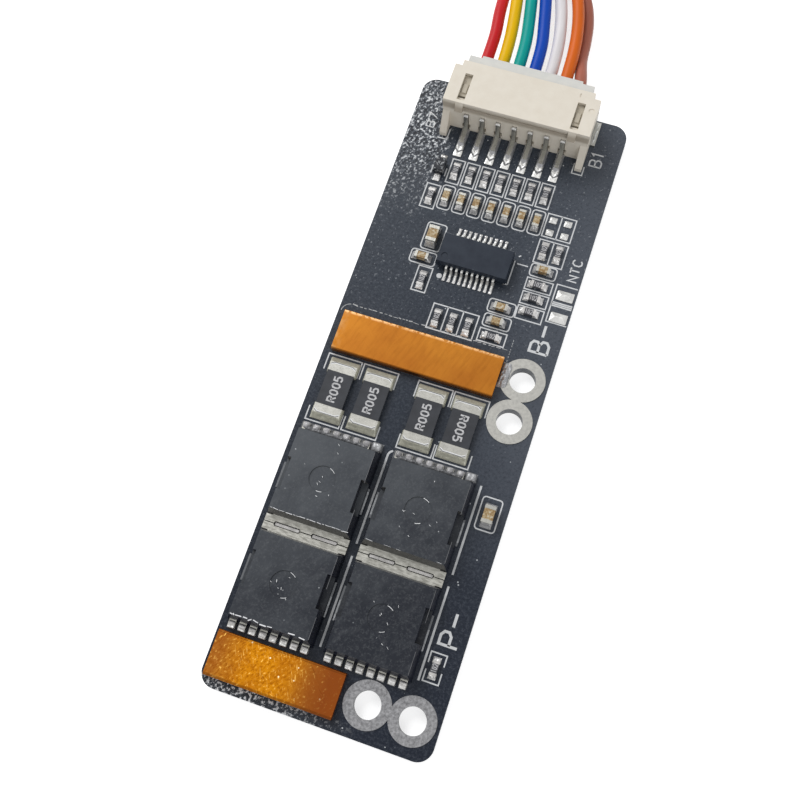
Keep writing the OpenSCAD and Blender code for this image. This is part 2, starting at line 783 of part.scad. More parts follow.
module header_cuts() {
    // room for the plug
    translate([-cavity_w / 2, rear_t, floor_t])
        cube([cavity_w, header_d, cavity_z1 - floor_t]);
    // roof slots
    for (s = [-1, 1])
        translate([s * slot_x, slot_y + slot_len / 2, cavity_z1 - eps])
            block([slot_w, slot_len, header_h]);
    // marks of the moulding tool: one ejector and the gate
    translate([ejector_at[0], ejector_at[1], header_h - mark_t])
        cylinder(d = ejector_d, h = 1);
    translate([gate_at[0], gate_at[1], header_h - mark_t])
        block([0.16, 0.5, 1]);
    // shadow groove under the roof's rear edge
    translate([0, 0, groove_z])
        block([2 * (slot_x - slot_w / 2), 2 * groove, groove]);
    for (i = [0:WIRES - 1])
        translate([pin_x(i), 0, 0]) {
            // passage for the pin, groove for its leg and relief slot beside it
            translate([0, rear_t / 2, pin_z - pin_w / 2])
                block([pin_w, rear_t + 2 * eps, pin_w]);
            translate([0, 0, -eps])
                block([pin_w + 0.1, 2 * (pin_w - pin_leg_out) + 0.1, pin_top + 0.1]);
            translate([0, 0, 0.5])
                block([pin_slot_w, 1, 0.8]);
        }
    for (s = [-1, 1])
        translate([s * header_w / 2, anchor_y + anchor_len / 2, -eps])
            block([2 * anchor_t, anchor_len, land_t + anchor_h + eps]);
}

module header_housing() {
    color(IVORY)
        translate([0, header_y, board_t])
            difference() {
                header_shell();
                header_cuts();
            }
}

// Formed pins: contact end inside, leg down the rear wall, foot on its land
module header_pins() {
    color(TIN)
        translate([0, header_y, board_t])
            for (i = [0:WIRES - 1])
                translate([pin_x(i), 0, 0])
                    along_x(pin_w)
                        polygon([[pin_tip_y, pin_top], [pin_tip_y, pin_top - pin_w],
                            [pin_w - pin_leg_out, pin_top - pin_w], [pin_w - pin_leg_out, land_t],
                            [-pin_foot_out, land_t], [-pin_foot_out, land_t + pin_w],
                            [-pin_leg_out, land_t + pin_w], [-pin_leg_out, pin_top - 0.12],
                            [0.12 - pin_leg_out, pin_top]]);
}

// Solder anchors let into the header's ears
module header_anchors() {
    color(TIN)
        translate([0, header_y + anchor_y + anchor_len / 2, land_top])
            for (s = [-1, 1])
                scale([s, 1, 1])
                    translate([header_w / 2 - anchor_t, -anchor_len / 2, 0]) {
                        cube([anchor_t, anchor_len, anchor_h]);
                        cube([anchor_t + anchor_out, anchor_len, anchor_t]);
                    }
}

// Plug in the header, same local frame
module plug_housing() {
    color(MILK)
        translate([0, header_y + plug_y, board_t + plug_z])
            difference() {
                union() {
                    translate([0, plug_len / 2, 0])
                        block([plug_w, plug_len, plug_h]);
                    translate([0, plug_len + lip_out / 2, plug_h - lip_h])
                        block([lip_w, lip_out, lip_h]);
                    for (s = [-1, 1])
                        translate([s * slot_x, slot_y + slot_len / 2 - plug_y, plug_h])
                            drafted_block([boss_w, boss_len, boss_h], 0.1);
                }
                for (i = [0:WIRES - 1])
                    translate([pin_x(i), 0, 0]) {
                        translate([0, cell_wall / 2, pin_mid - pin_hole / 2])
                            block([pin_hole, cell_wall + 2 * eps, pin_hole]);
                        translate([0, cell_wall + plug_len / 2, pin_mid - cell_h / 2])
                            block([cell_w, plug_len, cell_h]);
                    }
            }
}

// Crimp contacts: a sleeve round the pin, then the barrel that grips the wire
module plug_contacts() {
    sleeve_w = cell_w - 2 * sleeve_clear;
    sleeve_h = cell_h - 2 * sleeve_clear;
    barrel_len = plug_len - cell_wall - sleeve_len;
    color(TIN)
        translate([0, header_y + plug_y + cell_wall, board_t + pin_z])
            for (i = [0:WIRES - 1])
                translate([pin_x(i), 0, 0]) {
                    difference() {
                        translate([0, sleeve_len / 2, -sleeve_h / 2])
                            block([sleeve_w, sleeve_len, sleeve_h]);
                        translate([0, 0, -pin_w / 2])
                            block([pin_w, 2 * (pin_reach + sleeve_clear), pin_w]);
                    }
                    translate([0, sleeve_len + barrel_len / 2, -0.6])
                        block([1.2, barrel_len, 1.2]);
                }
}

// Lead: an eight-sided tube swept along its points
function lead_points(xs, zs) = [for (i = [0:len(WIRE_Y) - 1]) [xs[i], WIRE_Y[i], zs[i]]];
function unit(v) = v / norm(v);
function heading(p, i) = i == 0 || i == len(p) - 1 ? [0, 1, 0] : unit(p[i + 1] - p[i - 1]);
function ring(p, i) =
    let(ahead = heading(p, i), across = unit(cross(ahead, [0, 0, 1])), up = cross(across, ahead))
    [for (k = [0:wire_sides - 1])
        let(a = 360 * (k + 0.5) / wire_sides)
        p[i] + wire_d / 2 * (cos(a) * across + sin(a) * up)];

module lead(i) {
    path = lead_points(LEADS[i][2], LEADS[i][3]);
    n = len(path);
    m = wire_sides;
    sides = [for (r = [0:n - 2], k = [0:m - 1])
        [r * m + k, (r + 1) * m + k, (r + 1) * m + (k + 1) % m, r * m + (k + 1) % m]];
    first = [for (k = [0:m - 1]) k];
    last = [for (k = [m - 1:-1:0]) (n - 1) * m + k];
    color(LEADS[i][1])
        polyhedron([for (r = [0:n - 1]) each ring(path, r)], concat([first, last], sides));
}

// Outline of the hank, round at both ends and drawn in at the tie
function waist(y) = abs(y - hank_tie_y) >= hank_waist_len / 2 ? 0
    : hank_waist_in * (1 + cos(360 * (y - hank_tie_y) / hank_waist_len)) / 2;

module hank_outline() {
    side = hank_end_r;
    ys = [for (y = [hank_y0:hank_step:hank_y1]) y];
    top = [for (a = [0:10:180]) [hank_x + side * cos(a), hank_y1 + side * sin(a)]];
    left = [for (i = [len(ys) - 2:-1:0]) [hank_x - side + waist(ys[i]), ys[i]]];
    fold = [for (a = [180:10:360]) [hank_fold_x + hank_fold_r * cos(a), hank_y0 + hank_fold_r * sin(a)]];
    right = [for (i = [1:len(ys) - 2]) [hank_x + side - waist(ys[i]), ys[i]]];
    polygon(concat(top, left, fold, right));
}

module wire_hank() {
    color([0.45, 0.42, 0.42])
        difference() {
            union() {
                linear_extrude(hank_h)
                    hank_outline();
                linear_extrude(hank_h + tie_t)
                    intersection() {
                        hank_outline();
                        translate([hank_x - hank_end_r, hank_tie_y - tie_saddle / 2])
                            square([2 * hank_end_r, tie_saddle]);
                    }
            }
            translate([hank_x, hank_tie_y, -eps])
                block([3 * hank_end_r, tie_saddle, tie_t + eps]);
            tie_band();
        }
}

// Tie: a band round the waist, its head on top and a cut tail
module tie_band() {
    inner_w = 2 * (hank_end_r - hank_waist_in);
    translate([hank_x, hank_tie_y, 0])
        difference() {
            block([inner_w + 2 * tie_t, tie_w, hank_h + 2 * tie_t]);
            translate([0, 0, tie_t])
                block([inner_w, tie_w + 2 * eps, hank_h]);
        }
}

module hank_tie() {
    color(MILK) {
        tie_band();
        translate([hank_x + tie_head_x, hank_tie_y, hank_h + 2 * tie_t]) {
            block(tie_head);
            translate([(tie_head[0] + tie_tail_len) / 2 - 1, 0, 0])
                block([tie_tail_len, tie_w, tie_t]);
        }
    }
}

board();
battery_lands();
load_lands();
power_lands();
control_lands();
sensor_lands();
battery_bar();
load_bar();
for (i = [0:3]) {
    mosfet_body(i);
    mosfet_frame(i);
    shunt_body(i);
    shunt_ends(i);
}
controller_body();
controller_leads();
diode_body();
diode_leads();
chip_row_bodies(BALANCE, RESISTOR, MOULD);  // balance_resistor_bodies
chip_row_ends(BALANCE, RESISTOR);  // balance_resistor_ends
chip_row_bodies(FILTER, CAPACITOR, CERAMIC);  // filter_capacitor_bodies
chip_row_ends(FILTER, CAPACITOR);  // filter_capacitor_ends
chip_row_bodies(RESISTORS, RESISTOR, MOULD);  // control_resistor_bodies
chip_row_ends(RESISTORS, RESISTOR);  // control_resistor_ends
chip_row_bodies(CAPACITORS, CAPACITOR, CERAMIC);  // control_capacitor_bodies
chip_row_ends(CAPACITORS, CAPACITOR);  // control_capacitor_ends
chip_row_bodies(BIG_CAPACITORS, BIG_CAPACITOR, CERAMIC);  // bulk_capacitor_bodies
chip_row_ends(BIG_CAPACITORS, BIG_CAPACITOR);  // bulk_capacitor_ends
header_housing();
header_pins();
header_anchors();
plug_housing();
plug_contacts();
for (i = [0:WIRES - 1]) {
    lead(i);
}
wire_hank();
hank_tie();
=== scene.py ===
"""Battery management board: materials, print, solder, leads, lights and camera round the CAD frame."""

import math
import random
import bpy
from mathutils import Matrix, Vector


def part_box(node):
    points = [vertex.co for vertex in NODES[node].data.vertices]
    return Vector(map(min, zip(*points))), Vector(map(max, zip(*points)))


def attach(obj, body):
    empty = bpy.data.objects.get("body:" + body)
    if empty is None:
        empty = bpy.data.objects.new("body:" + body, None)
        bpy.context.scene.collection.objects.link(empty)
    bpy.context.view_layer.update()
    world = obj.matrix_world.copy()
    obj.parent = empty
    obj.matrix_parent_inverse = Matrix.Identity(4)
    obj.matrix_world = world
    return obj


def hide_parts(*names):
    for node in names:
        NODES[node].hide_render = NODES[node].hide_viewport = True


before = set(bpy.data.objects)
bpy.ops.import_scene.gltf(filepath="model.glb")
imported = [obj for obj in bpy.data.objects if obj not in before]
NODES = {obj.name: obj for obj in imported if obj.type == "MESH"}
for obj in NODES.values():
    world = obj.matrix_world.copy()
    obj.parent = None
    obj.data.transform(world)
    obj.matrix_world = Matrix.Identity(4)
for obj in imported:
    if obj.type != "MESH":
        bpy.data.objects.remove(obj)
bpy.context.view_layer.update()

from fnmatch import fnmatch

import bmesh
import bpy
from mathutils import Vector, noise

MM = 0.001
NUMBERS = (1, 2, 3, 4)


def box_mm(name):
    """The lowest and highest corner of a node, in millimetres."""
    return [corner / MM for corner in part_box(name)]


TOP = box_mm("board")[1].z
LAND_TOP = box_mm("control_lands")[1].z


# ---- camera

LENS = 46.74
CAMERA_SPOT = (14.87, -32.64, 114.45)
CAMERA_TURN = (16.86, 3.38, 18.9)


def put(name, data):
    """A new object in the scene."""
    obj = bpy.data.objects.new(name, data)
    bpy.context.scene.collection.objects.link(obj)
    return obj


def make_camera():
    """The photo's camera, above the board and turned so that the board slants."""
    data = bpy.data.cameras.new("camera")
    data.lens = LENS
    data.clip_start = 0.005
    data.clip_end = 10
    camera = put("camera", data)
    camera.location = [c * MM for c in CAMERA_SPOT]
    camera.rotation_euler = [math.radians(a) for a in CAMERA_TURN]
    bpy.context.scene.camera = camera


# ---- node trees

def add(tree, kind, inputs=None, **settings):
    """A shader node with its settings, and its inputs set to values or linked to sockets."""
    node = tree.nodes.new("ShaderNode" + kind)
    for name, value in settings.items():
        setattr(node, name, value)
    for key, value in (inputs or {}).items():
        if isinstance(value, bpy.types.NodeSocket):
            tree.links.new(value, node.inputs[key])
        else:
            node.inputs[key].default_value = value
    return node


def srgb(r, g, b):
    """A colour of 0 to 255 a channel, as linear light."""
    return tuple((c / 255 / 12.92) if c < 10 else ((c / 255 + 0.055) / 1.055) ** 2.4 for c in (r, g, b))


class Look:
    """A material being made: textures go into its tree, and its colour is laid on in coats.

    Colours are 0 to 255 a channel, apart from those given to mix. Lengths are in millimetres.
    """

    def __init__(self, name, colour, rough, metallic=0, shine=0.5):
        self.mat = bpy.data.materials.new(name)
        self.mat.use_nodes = True
        self.tree = self.mat.node_tree
        self.shader = self.tree.nodes["Principled BSDF"]
        inputs = self.shader.inputs
        inputs["Base Color"].default_value = (*srgb(*colour), 1)
        inputs["Roughness"].default_value = rough
        inputs["Metallic"].default_value = metallic
        inputs["Specular IOR Level"].default_value = shine
        self.tone = None

    def out(self, kind, inputs=None, key=0, **settings):
        """One output of a new node."""
        return add(self.tree, kind, inputs, **settings).outputs[key]

    def link(self, socket, name):
        self.tree.links.new(socket, self.shader.inputs[name])

    def place(self, stretch=(1, 1, 1), turn=0):
        """Position on the object, turned about Z and then stretched."""
        where = self.out("TexCoord", key="Object")
        if turn:
            where = self.out("Mapping", {"Vector": where, "Rotation": (0, 0, math.radians(turn))})
        return self.out("Mapping", {"Vector": where, "Scale": [s / MM for s in stretch]})

    def split(self, vector=None):
        """X, Y and Z of a vector, or of the position on the object."""
        return tuple(add(self.tree, "SeparateXYZ", {"Vector": vector or self.place()}).outputs)

    def noise(self, scale, stretch=(1, 1, 1), turn=0, detail=3, rough=0.55):
        inputs = {"Vector": self.place(stretch, turn), "Scale": scale, "Detail": detail, "Roughness": rough}
        return self.out("TexNoise", inputs, "Fac")

    def ramp(self, value, low, high, out_low=0.0, out_high=1.0):
        """Value mapped from low..high to out_low..out_high, and held at the ends."""
        inputs = {"Value": value, "From Min": low, "From Max": high, "To Min": out_low, "To Max": out_high}
        return self.out("MapRange", inputs)

    def maths(self, operation, result, *others):
        """The first value, joined by the operation with each of the others in turn."""
        for other in others:
            result = self.out("Math", {0: result, 1: other}, operation=operation)
        return result

    def times(self, *values):
        return self.maths("MULTIPLY", *values)

    def plus(self, *values):
        return self.maths("ADD", *values)

    def minus(self, value, less):
        return self.maths("SUBTRACT", value, less)

    def mix(self, share, first, second):
        """Colour between first and second; each is a linear colour or a socket."""
        first, second = ((*c, 1) if isinstance(c, tuple) else c for c in (first, second))
        return self.out("Mix", {0: share, 6: first, 7: second}, 2, data_type="RGBA")

    def specks(self, pitch, size, share):
        """Sparse round specks: 1 inside a speck and 0 elsewhere."""
        cells = add(self.tree, "TexVoronoi", {"Vector": self.place(), "Scale": 1 / pitch}).outputs
        chosen = self.maths("LESS_THAN", self.split(cells["Color"])[0], share)
        return self.times(self.ramp(cells["Distance"], size, size * 0.6), chosen)

    def band(self, value, low, high, soft):
        """1 between low and high, fading to 0 over the soft width outside them."""
        return self.times(self.ramp(value, low - soft, low), self.ramp(value, high, high + soft, 1, 0))

    def bump(self, height, strength, depth):
        inputs = {"Height": height, "Strength": strength, "Distance": depth * MM}
        self.link(self.out("Bump", inputs), "Normal")

    def base(self, share, first, second):
        """The first coat of colour, between first and second."""
        self.tone = self.mix(share, srgb(*first), srgb(*second))

    def coat(self, colour, *shares):
        """A coat over the colour so far, as dense as the product of the shares."""
        self.tone = self.mix(self.times(*shares), self.tone, srgb(*colour))

    def done(self, uneven, smooth, dull, height, strength, depth=0.02):
        """The material: its colour, a roughness from smooth to dull by one texture, bumps by another."""
        self.link(self.tone, "Base Color")
        self.link(self.ramp(uneven, 0.3, 0.7, smooth, dull), "Roughness")
        self.bump(height, strength, depth)
        return self.mat


# ---- materials

def scaled(colour, factor):
    """A colour of 0 to 255 a channel as linear light, times a factor."""
    return tuple(min(1, c * factor) for c in srgb(*colour))


def plastic(name, colour, rough, mottle=0.12, grain=3.0, bumps=0.15, shine=0.5):
    """Moulded plastic or glaze, slightly uneven in colour and surface."""
    look = Look(name, colour, rough, shine=shine)
    patches = look.ramp(look.noise(grain * 0.25), 0.3, 0.7)
    look.tone = look.mix(patches, scaled(colour, 1 - mottle), scaled(colour, 1 + mottle))
    fine = look.noise(grain * 4)
    return look.done(fine, rough * 0.85, min(1, rough * 1.15), fine, bumps)


def metal(name, colour, rough, mottle=0.15, grain=4.0, bumps=0.3, metallic=1.0):
    """Tinned or soldered metal: bright, with duller patches and a slightly lumpy surface."""
    look = Look(name, colour, rough, metallic)
    patches = look.ramp(look.noise(grain * 0.3), 0.35, 0.65)
    look.tone = look.mix(patches, scaled(colour, 1 - mottle), srgb(*colour))
    fine = look.noise(grain * 2)
    return look.done(fine, rough * 0.7, min(1, rough * 1.3), fine, bumps)


def laminate():
    """Solder mask under clear coat, paler towards the connector with a painted reflection, and hazed at the
    right.
    """
    look = Look("laminate_coat", (30, 38, 50), 0.32, shine=0.22)
    x, y, z = look.split()
    # painted reflection: the mask is paler towards the connector
    look.base(look.ramp(y, -38, 30), (17, 25, 39), (50, 57, 67))
    bloom = look.ramp(look.plus(x, look.times(look.noise(0.35), 4)), 5, 14)
    look.coat((88, 93, 102), bloom, look.ramp(y, -20, -4), 0.55)
    grit = look.noise(3.2, detail=4, rough=0.8)
    look.coat((84, 89, 98), look.ramp(grit, 0.48, 0.62, 0, 0.35))
    look.coat((16, 22, 32), look.ramp(grit, 0.46, 0.36, 0, 0.4))
    look.coat((140, 145, 152), look.specks(0.75, 0.1, 0.2), 0.45)
    look.coat((206, 210, 214), look.specks(1.6, 0.065, 0.45), 0.85)
    # lumpy coat left of the connector's pins and below the lower bar, on the top side only
    ragged = look.times(look.minus(look.noise(0.45), 0.5), 6.0)
    upper = look.band(look.plus(x, ragged), -14, -8.2, 1.0)
    upper = look.times(upper, look.ramp(look.plus(y, ragged), 20, 29))
    lower = look.times(look.band(y, -40, -37.5, 0.12), look.ramp(x, -7, 5, 1, 0))
    top = look.ramp(z, 1.3, 1.5)
    lumps = look.times(look.maths("MAXIMUM", upper, lower), top)
    corner = look.times(upper, top, look.ramp(look.minus(y, x), 41, 50, 0.2, 0.7))
    look.coat((104, 109, 116), look.maths("MAXIMUM", corner, look.times(lumps, 0.3)))
    grains = look.noise(3.3, (1, 0.75, 1), 30, rough=0.7)
    look.coat((12, 16, 24), lumps, look.ramp(grains, 0.49, 0.45), 0.9)
    look.coat((160, 164, 170), look.ramp(y, 4, 12), look.ramp(grains, 0.63, 0.67, 0, 0.5))
    # painted glints: bright grains on the coat lumps
    denser = look.plus(grains, look.times(lower, 0.03))
    look.coat((222, 225, 228), lumps, look.ramp(denser, 0.56, 0.6), 0.9)
    height = look.plus(look.noise(1.6), look.times(grains, lumps, 4))
    return look.done(look.noise(2.5), 0.24, 0.42, height, 0.4, 0.05)


def copper():
    """Tarnished copper: the lower bar golden in the middle and browner to the right, the upper one even."""
    look = Look("copper_tarnished", (156, 94, 34), 0.48, metallic=1.0)
    x, y, z = look.split()
    lower = look.ramp(y, -20, -19, 1, 0)
    upper = look.minus(1.0, lower)
    look.base(look.ramp(look.noise(0.16), 0.35, 0.65), (150, 91, 33), (164, 105, 38))
    look.coat((202, 130, 10), lower, look.band(x, -8.5, -4.2, 3.2), 0.85)
    look.coat((128, 66, 26), lower, look.ramp(x, -3.5, 0.5))
    # crust, and bright grains painted as glints, fewer to the right
    share = look.times(lower, look.ramp(x, -5, 0.5, 1, 0.2))
    crust = look.noise(2.6, (1.5, 0.7, 1), 35, detail=4, rough=0.7)
    broad = look.ramp(look.noise(0.5, (1, 0.6, 1), 20, detail=2), 0.4, 0.62)
    look.coat((150, 80, 22), share, broad, 0.4)
    look.coat((132, 66, 6), share, look.ramp(crust, 0.5, 0.4, 0, 0.6))
    look.coat((248, 198, 100), share, look.ramp(crust, 0.59, 0.67, 0, 0.8))
    # drawn scratches, and dark creases across them
    drawn = look.noise(1.0, (0.9, 8, 1), 62)
    look.coat((240, 190, 96), lower, look.band(x, -9, -2.5, 2), look.ramp(drawn, 0.62, 0.7), 0.8)
    streaks = look.noise(1.0, (0.3, 6, 1), 42)
    look.coat((96, 46, 14), lower, look.ramp(streaks, 0.62, 0.72, 0, 0.5))
    # painted glints: sparse bright specks
    look.coat((255, 236, 190), share, look.specks(0.8, 0.14, 0.28))
    crust = look.times(crust, share)
    # the upper bar: faintly brushed, and paler at its left end
    brushed = look.noise(1.0, (3, 0.5, 1), 18, detail=4)
    look.coat((122, 70, 22), upper, look.ramp(brushed, 0.45, 0.7, 0, 0.3))
    left_end = look.ramp(look.plus(x, crust), -11.0, -11.9)
    look.coat((176, 140, 96), upper, left_end, look.ramp(look.noise(1.2), 0.4, 0.6, 0, 0.45))
    # darker long edges, and a painted highlight along the upper bar's far edge
    rims = [look.band(y, low, high, 0.1) for low, high in ((0.8, 0.95), (-37.7, -37.4), (-32.9, -32.6))]
    look.coat((84, 44, 16), look.maths("MAXIMUM", *rims), 0.5)
    look.coat((248, 205, 152), look.ramp(y, 5.4, 5.7), look.ramp(look.noise(2.6), 0.38, 0.55), 0.6)
    return look.done(streaks, 0.38, 0.5, look.plus(look.times(streaks, 0.4), crust), 0.35, 0.04)


def compound():
    """The transistors' moulding compound: sides darkened with painted shade, and a top hazed by dusty coat.
    """
    look = Look("transistor_compound", (36, 40, 45), 0.33, shine=0.25)
    x, y, z = look.split()
    uneven = look.plus(look.times(x, -0.024), look.times(y, 0.03), look.times(look.noise(0.28), 0.9))
    look.base(look.ramp(uneven, -0.45, 0.55), (27, 31, 40), (84, 88, 93))
    veil = look.noise(1.0, (0.9, 0.35, 1), 35, detail=5, rough=0.7)
    look.coat((90, 93, 97), look.ramp(veil, 0.5, 0.75, 0, 0.35))
    look.coat((104, 107, 110), look.ramp(look.noise(3.6, detail=4, rough=0.75), 0.5, 0.7, 0, 0.35))
    look.coat((170, 174, 178), look.specks(1.0, 0.1, 0.2), 0.4)
    look.coat((214, 217, 220), look.specks(1.9, 0.06, 0.5), 0.9)
    # painted shade: steep sides are dark, apart from the upper row's near ends, which get a lighter tone
    face_y, face_z = look.split(look.out("NewGeometry", key="Normal"))[1:]
    side = look.ramp(face_z, 0.9, 0.8)
    look.coat((22, 25, 38), side, 0.85)
    near_end = look.times(side, look.ramp(face_y, -0.5, -0.7), look.ramp(y, -21, -20.5))
    look.coat((96, 95, 92), near_end, look.ramp(veil, 0.3, 0.6, 0.5, 0.9))
    return look.done(veil, 0.26, 0.4, veil, 0.2, 0.04)


def frame_tin():
    """The transistors' tinned frame: bright tabs and leads, and wings sunk in the sides darkened with
    painted shade.
    """
    look = Look("frame_tin", (168, 167, 160), 0.38, metallic=0.8)
    grime = look.noise(1.3, (1, 3, 1))
    look.base(look.ramp(grime, 0.35, 0.65), (140, 139, 132), (184, 183, 176))
    # painted shade: darker below 2.1 mm, where the wings sit sunk in the body's sides
    look.coat((96, 98, 101), look.ramp(look.split()[2], 2.13, 2.1))
    return look.done(grime, 0.3, 0.46, look.noise(6), 0.3)


def ring_tin():
    """Tinned lands; those at the load end are rougher and duller."""
    look = Look("tinned_land_metal", (160, 159, 154), 0.45, metallic=1.0)
    fine = look.noise(3.0, detail=4, rough=0.7)
    patches = look.ramp(fine, 0.35, 0.65)
    dull = look.ramp(look.split()[1], -20, -30)
    clean = look.mix(patches, srgb(152, 151, 147), srgb(166, 165, 160))
    look.tone = look.mix(dull, clean, look.mix(patches, srgb(108, 108, 110), srgb(152, 152, 154)))
    return look.done(fine, 0.38, 0.52, look.times(fine, look.plus(look.times(dull, 2), 1)), 0.3)


def header_nylon():
    """The connector's ivory nylon, with painted shade, brown, in the recess below its roof and in the
    roof's slots.
    """
    look = Look("header_nylon", (228, 220, 207), 0.5, shine=0.3)
    x, y, z = look.split()
    look.base(look.ramp(look.noise(0.8), 0.3, 0.7), (225, 217, 203), (230, 223, 210))
    # painted shade: brown band on the rear wall below the roof
    look.coat((120, 104, 80), look.ramp(y, 33.3, 33.2), look.band(z, 5.7, 6.35, 0.5), 0.55)
    # painted shade inside the housing, below the roof
    inner = look.band(look.maths("ABSOLUTE", x, 0.0), 6.35, 7.45, 0.03)
    look.coat((150, 140, 122), inner, look.ramp(z, 7.06, 7.0), look.ramp(y, 33.3, 33.4), 0.15)
    return look.done(look.noise(10), 0.44, 0.56, look.noise(12), 0.12)


def plug_nylon():
    """The plug's cooler nylon; what the connector's roof slots show of it is darker and warmer, painted
    shade inside the housing.
    """
    look = Look("plug_nylon", (214, 213, 208), 0.45, shine=0.3)
    look.base(look.ramp(look.noise(0.8), 0.3, 0.7), (208, 209, 206), (218, 217, 212))
    # painted shade: darker and warmer where the connector's roof covers the plug
    look.coat((184, 176, 160), look.ramp(look.split()[1], 38.2, 38.0))
    return look.done(look.noise(10), 0.4, 0.52, look.noise(12), 0.12)


def controller_compound():
    """The controller's compound, with a painted highlight along its top edge behind its rear leads."""
    look = Look("chip_compound", (24, 31, 43), 0.42, shine=0.22)
    look.base(look.ramp(look.noise(0.7), 0.3, 0.7), (29, 36, 48), (42, 49, 60))
    look.coat((120, 124, 130), look.specks(0.6, 0.1, 0.2), 0.5)
    # painted highlight along the body's rear top edge
    edge = look.band(look.split()[1], 18.33, 18.42, 0.03)
    look.coat((170, 174, 178), edge, look.ramp(look.noise(2.0), 0.38, 0.46), 0.8)
    return look.done(look.noise(4), 0.36, 0.48, look.noise(5), 0.15)


def toe_solder():
    """Solder on the transistors' lower leads: streaked and bright at the toes, darker nearer the body."""
    look = Look("solder_toe", (190, 190, 188), 0.35, metallic=0.5)
    streaks = look.noise(1.0, (0.6, 5, 1))
    look.base(look.ramp(streaks, 0.4, 0.6), (168, 166, 164), (226, 226, 224))
    look.coat((70, 69, 72), look.ramp(look.plus(look.split()[1], look.times(streaks, 0.3)), -31.6, -31.4))
    return look.done(streaks, 0.28, 0.45, streaks, 0.4)


def pin_solder():
    """Solder at the connector's pins: hazed up the foot, then an arrow-shaped ridge and a bright toe."""
    look = Look("pin_foot_solder", (206, 206, 205), 0.3, metallic=0.6)
    x, y, z = look.split()
    aside = look.maths("PINGPONG", x, 1.0)
    along = look.minus(y, look.times(aside, 0.9))
    ragged = look.plus(along, look.times(look.minus(look.noise(2.5), 0.5), 0.5))
    look.base(look.ramp(ragged, 30.1, 30.35), (232, 232, 230), (150, 150, 152))
    look.coat((110, 110, 112), look.band(ragged, 29.55, 29.72, 0.06))
    look.coat((206, 207, 208), look.ramp(aside, 0.34, 0.4), look.ramp(y, 30, 30.6), 0.7)
    return look.done(look.noise(5), 0.24, 0.4, look.noise(4), 0.2)


def coated():
    """A small part buried in lumpy clear coat: dark, with bright grains painted as glints."""
    look = Look("coated_part", (24, 28, 36), 0.3, shine=0.3)
    grains = look.noise(2.7, rough=0.7)
    # painted glints: bright grains on the coat
    look.base(look.ramp(grains, 0.55, 0.6, 0, 0.85), (22, 26, 34), (176, 179, 182))
    return look.done(grains, 0.25, 0.4, grains, 0.6, 0.05)


def ceramic():
    """Capacitor tan, paler and greyer in patches."""
    look = Look("capacitor_tan", (160, 130, 80), 0.3)
    patches = look.noise(2.4, rough=0.6)
    look.base(look.ramp(patches, 0.42, 0.55), (142, 112, 70), (176, 156, 118))
    look.coat((206, 202, 190), look.ramp(patches, 0.55, 0.63, 0, 0.75))
    return look.done(patches, 0.22, 0.36, patches, 0.4, 0.04)


def insulation(name, colour):
    """Extruded wire insulation, smooth and slightly soft looking."""
    look = Look(name, colour, 0.42, shine=0.18)
    patches = look.ramp(look.noise(1.0, (1, 0.15, 1)), 0.3, 0.7)
    look.link(look.mix(patches, scaled(colour, 0.86), srgb(*colour)), "Base Color")
    look.bump(look.noise(6), 0.08, 0.02)
    return look.mat


def floor_material():
    """White floor that keeps the part's shadow: it glows for the camera and in reflections only."""
    look = Look("floor_white", (255, 255, 255), 0.9, shine=0.1)
    look.shader.inputs["Base Color"].default_value = (0.8, 0.8, 0.8, 1)
    path = add(look.tree, "LightPath").outputs
    glow = look.out("Emission", {"Color": (1, 1, 1, 1), "Strength": 0.68})
    both = look.out("AddShader", {0: look.shader.outputs[0], 1: glow})
    seen = look.maths("MAXIMUM", path["Is Camera Ray"], path["Is Glossy Ray"])
    choice = look.out("MixShader", {0: seen, 1: look.shader.outputs[0], 2: both})
    look.tree.links.new(choice, look.tree.nodes["Material Output"].inputs["Surface"])
    return look.mat


MATS = {}
WIRE_COLOURS = {
    "red": (202, 30, 36), "yellow": (236, 188, 0), "teal": (0, 162, 154), "blue": (10, 72, 182),
    "white": (232, 228, 230), "orange": (220, 104, 28), "brown": (172, 104, 86),
}


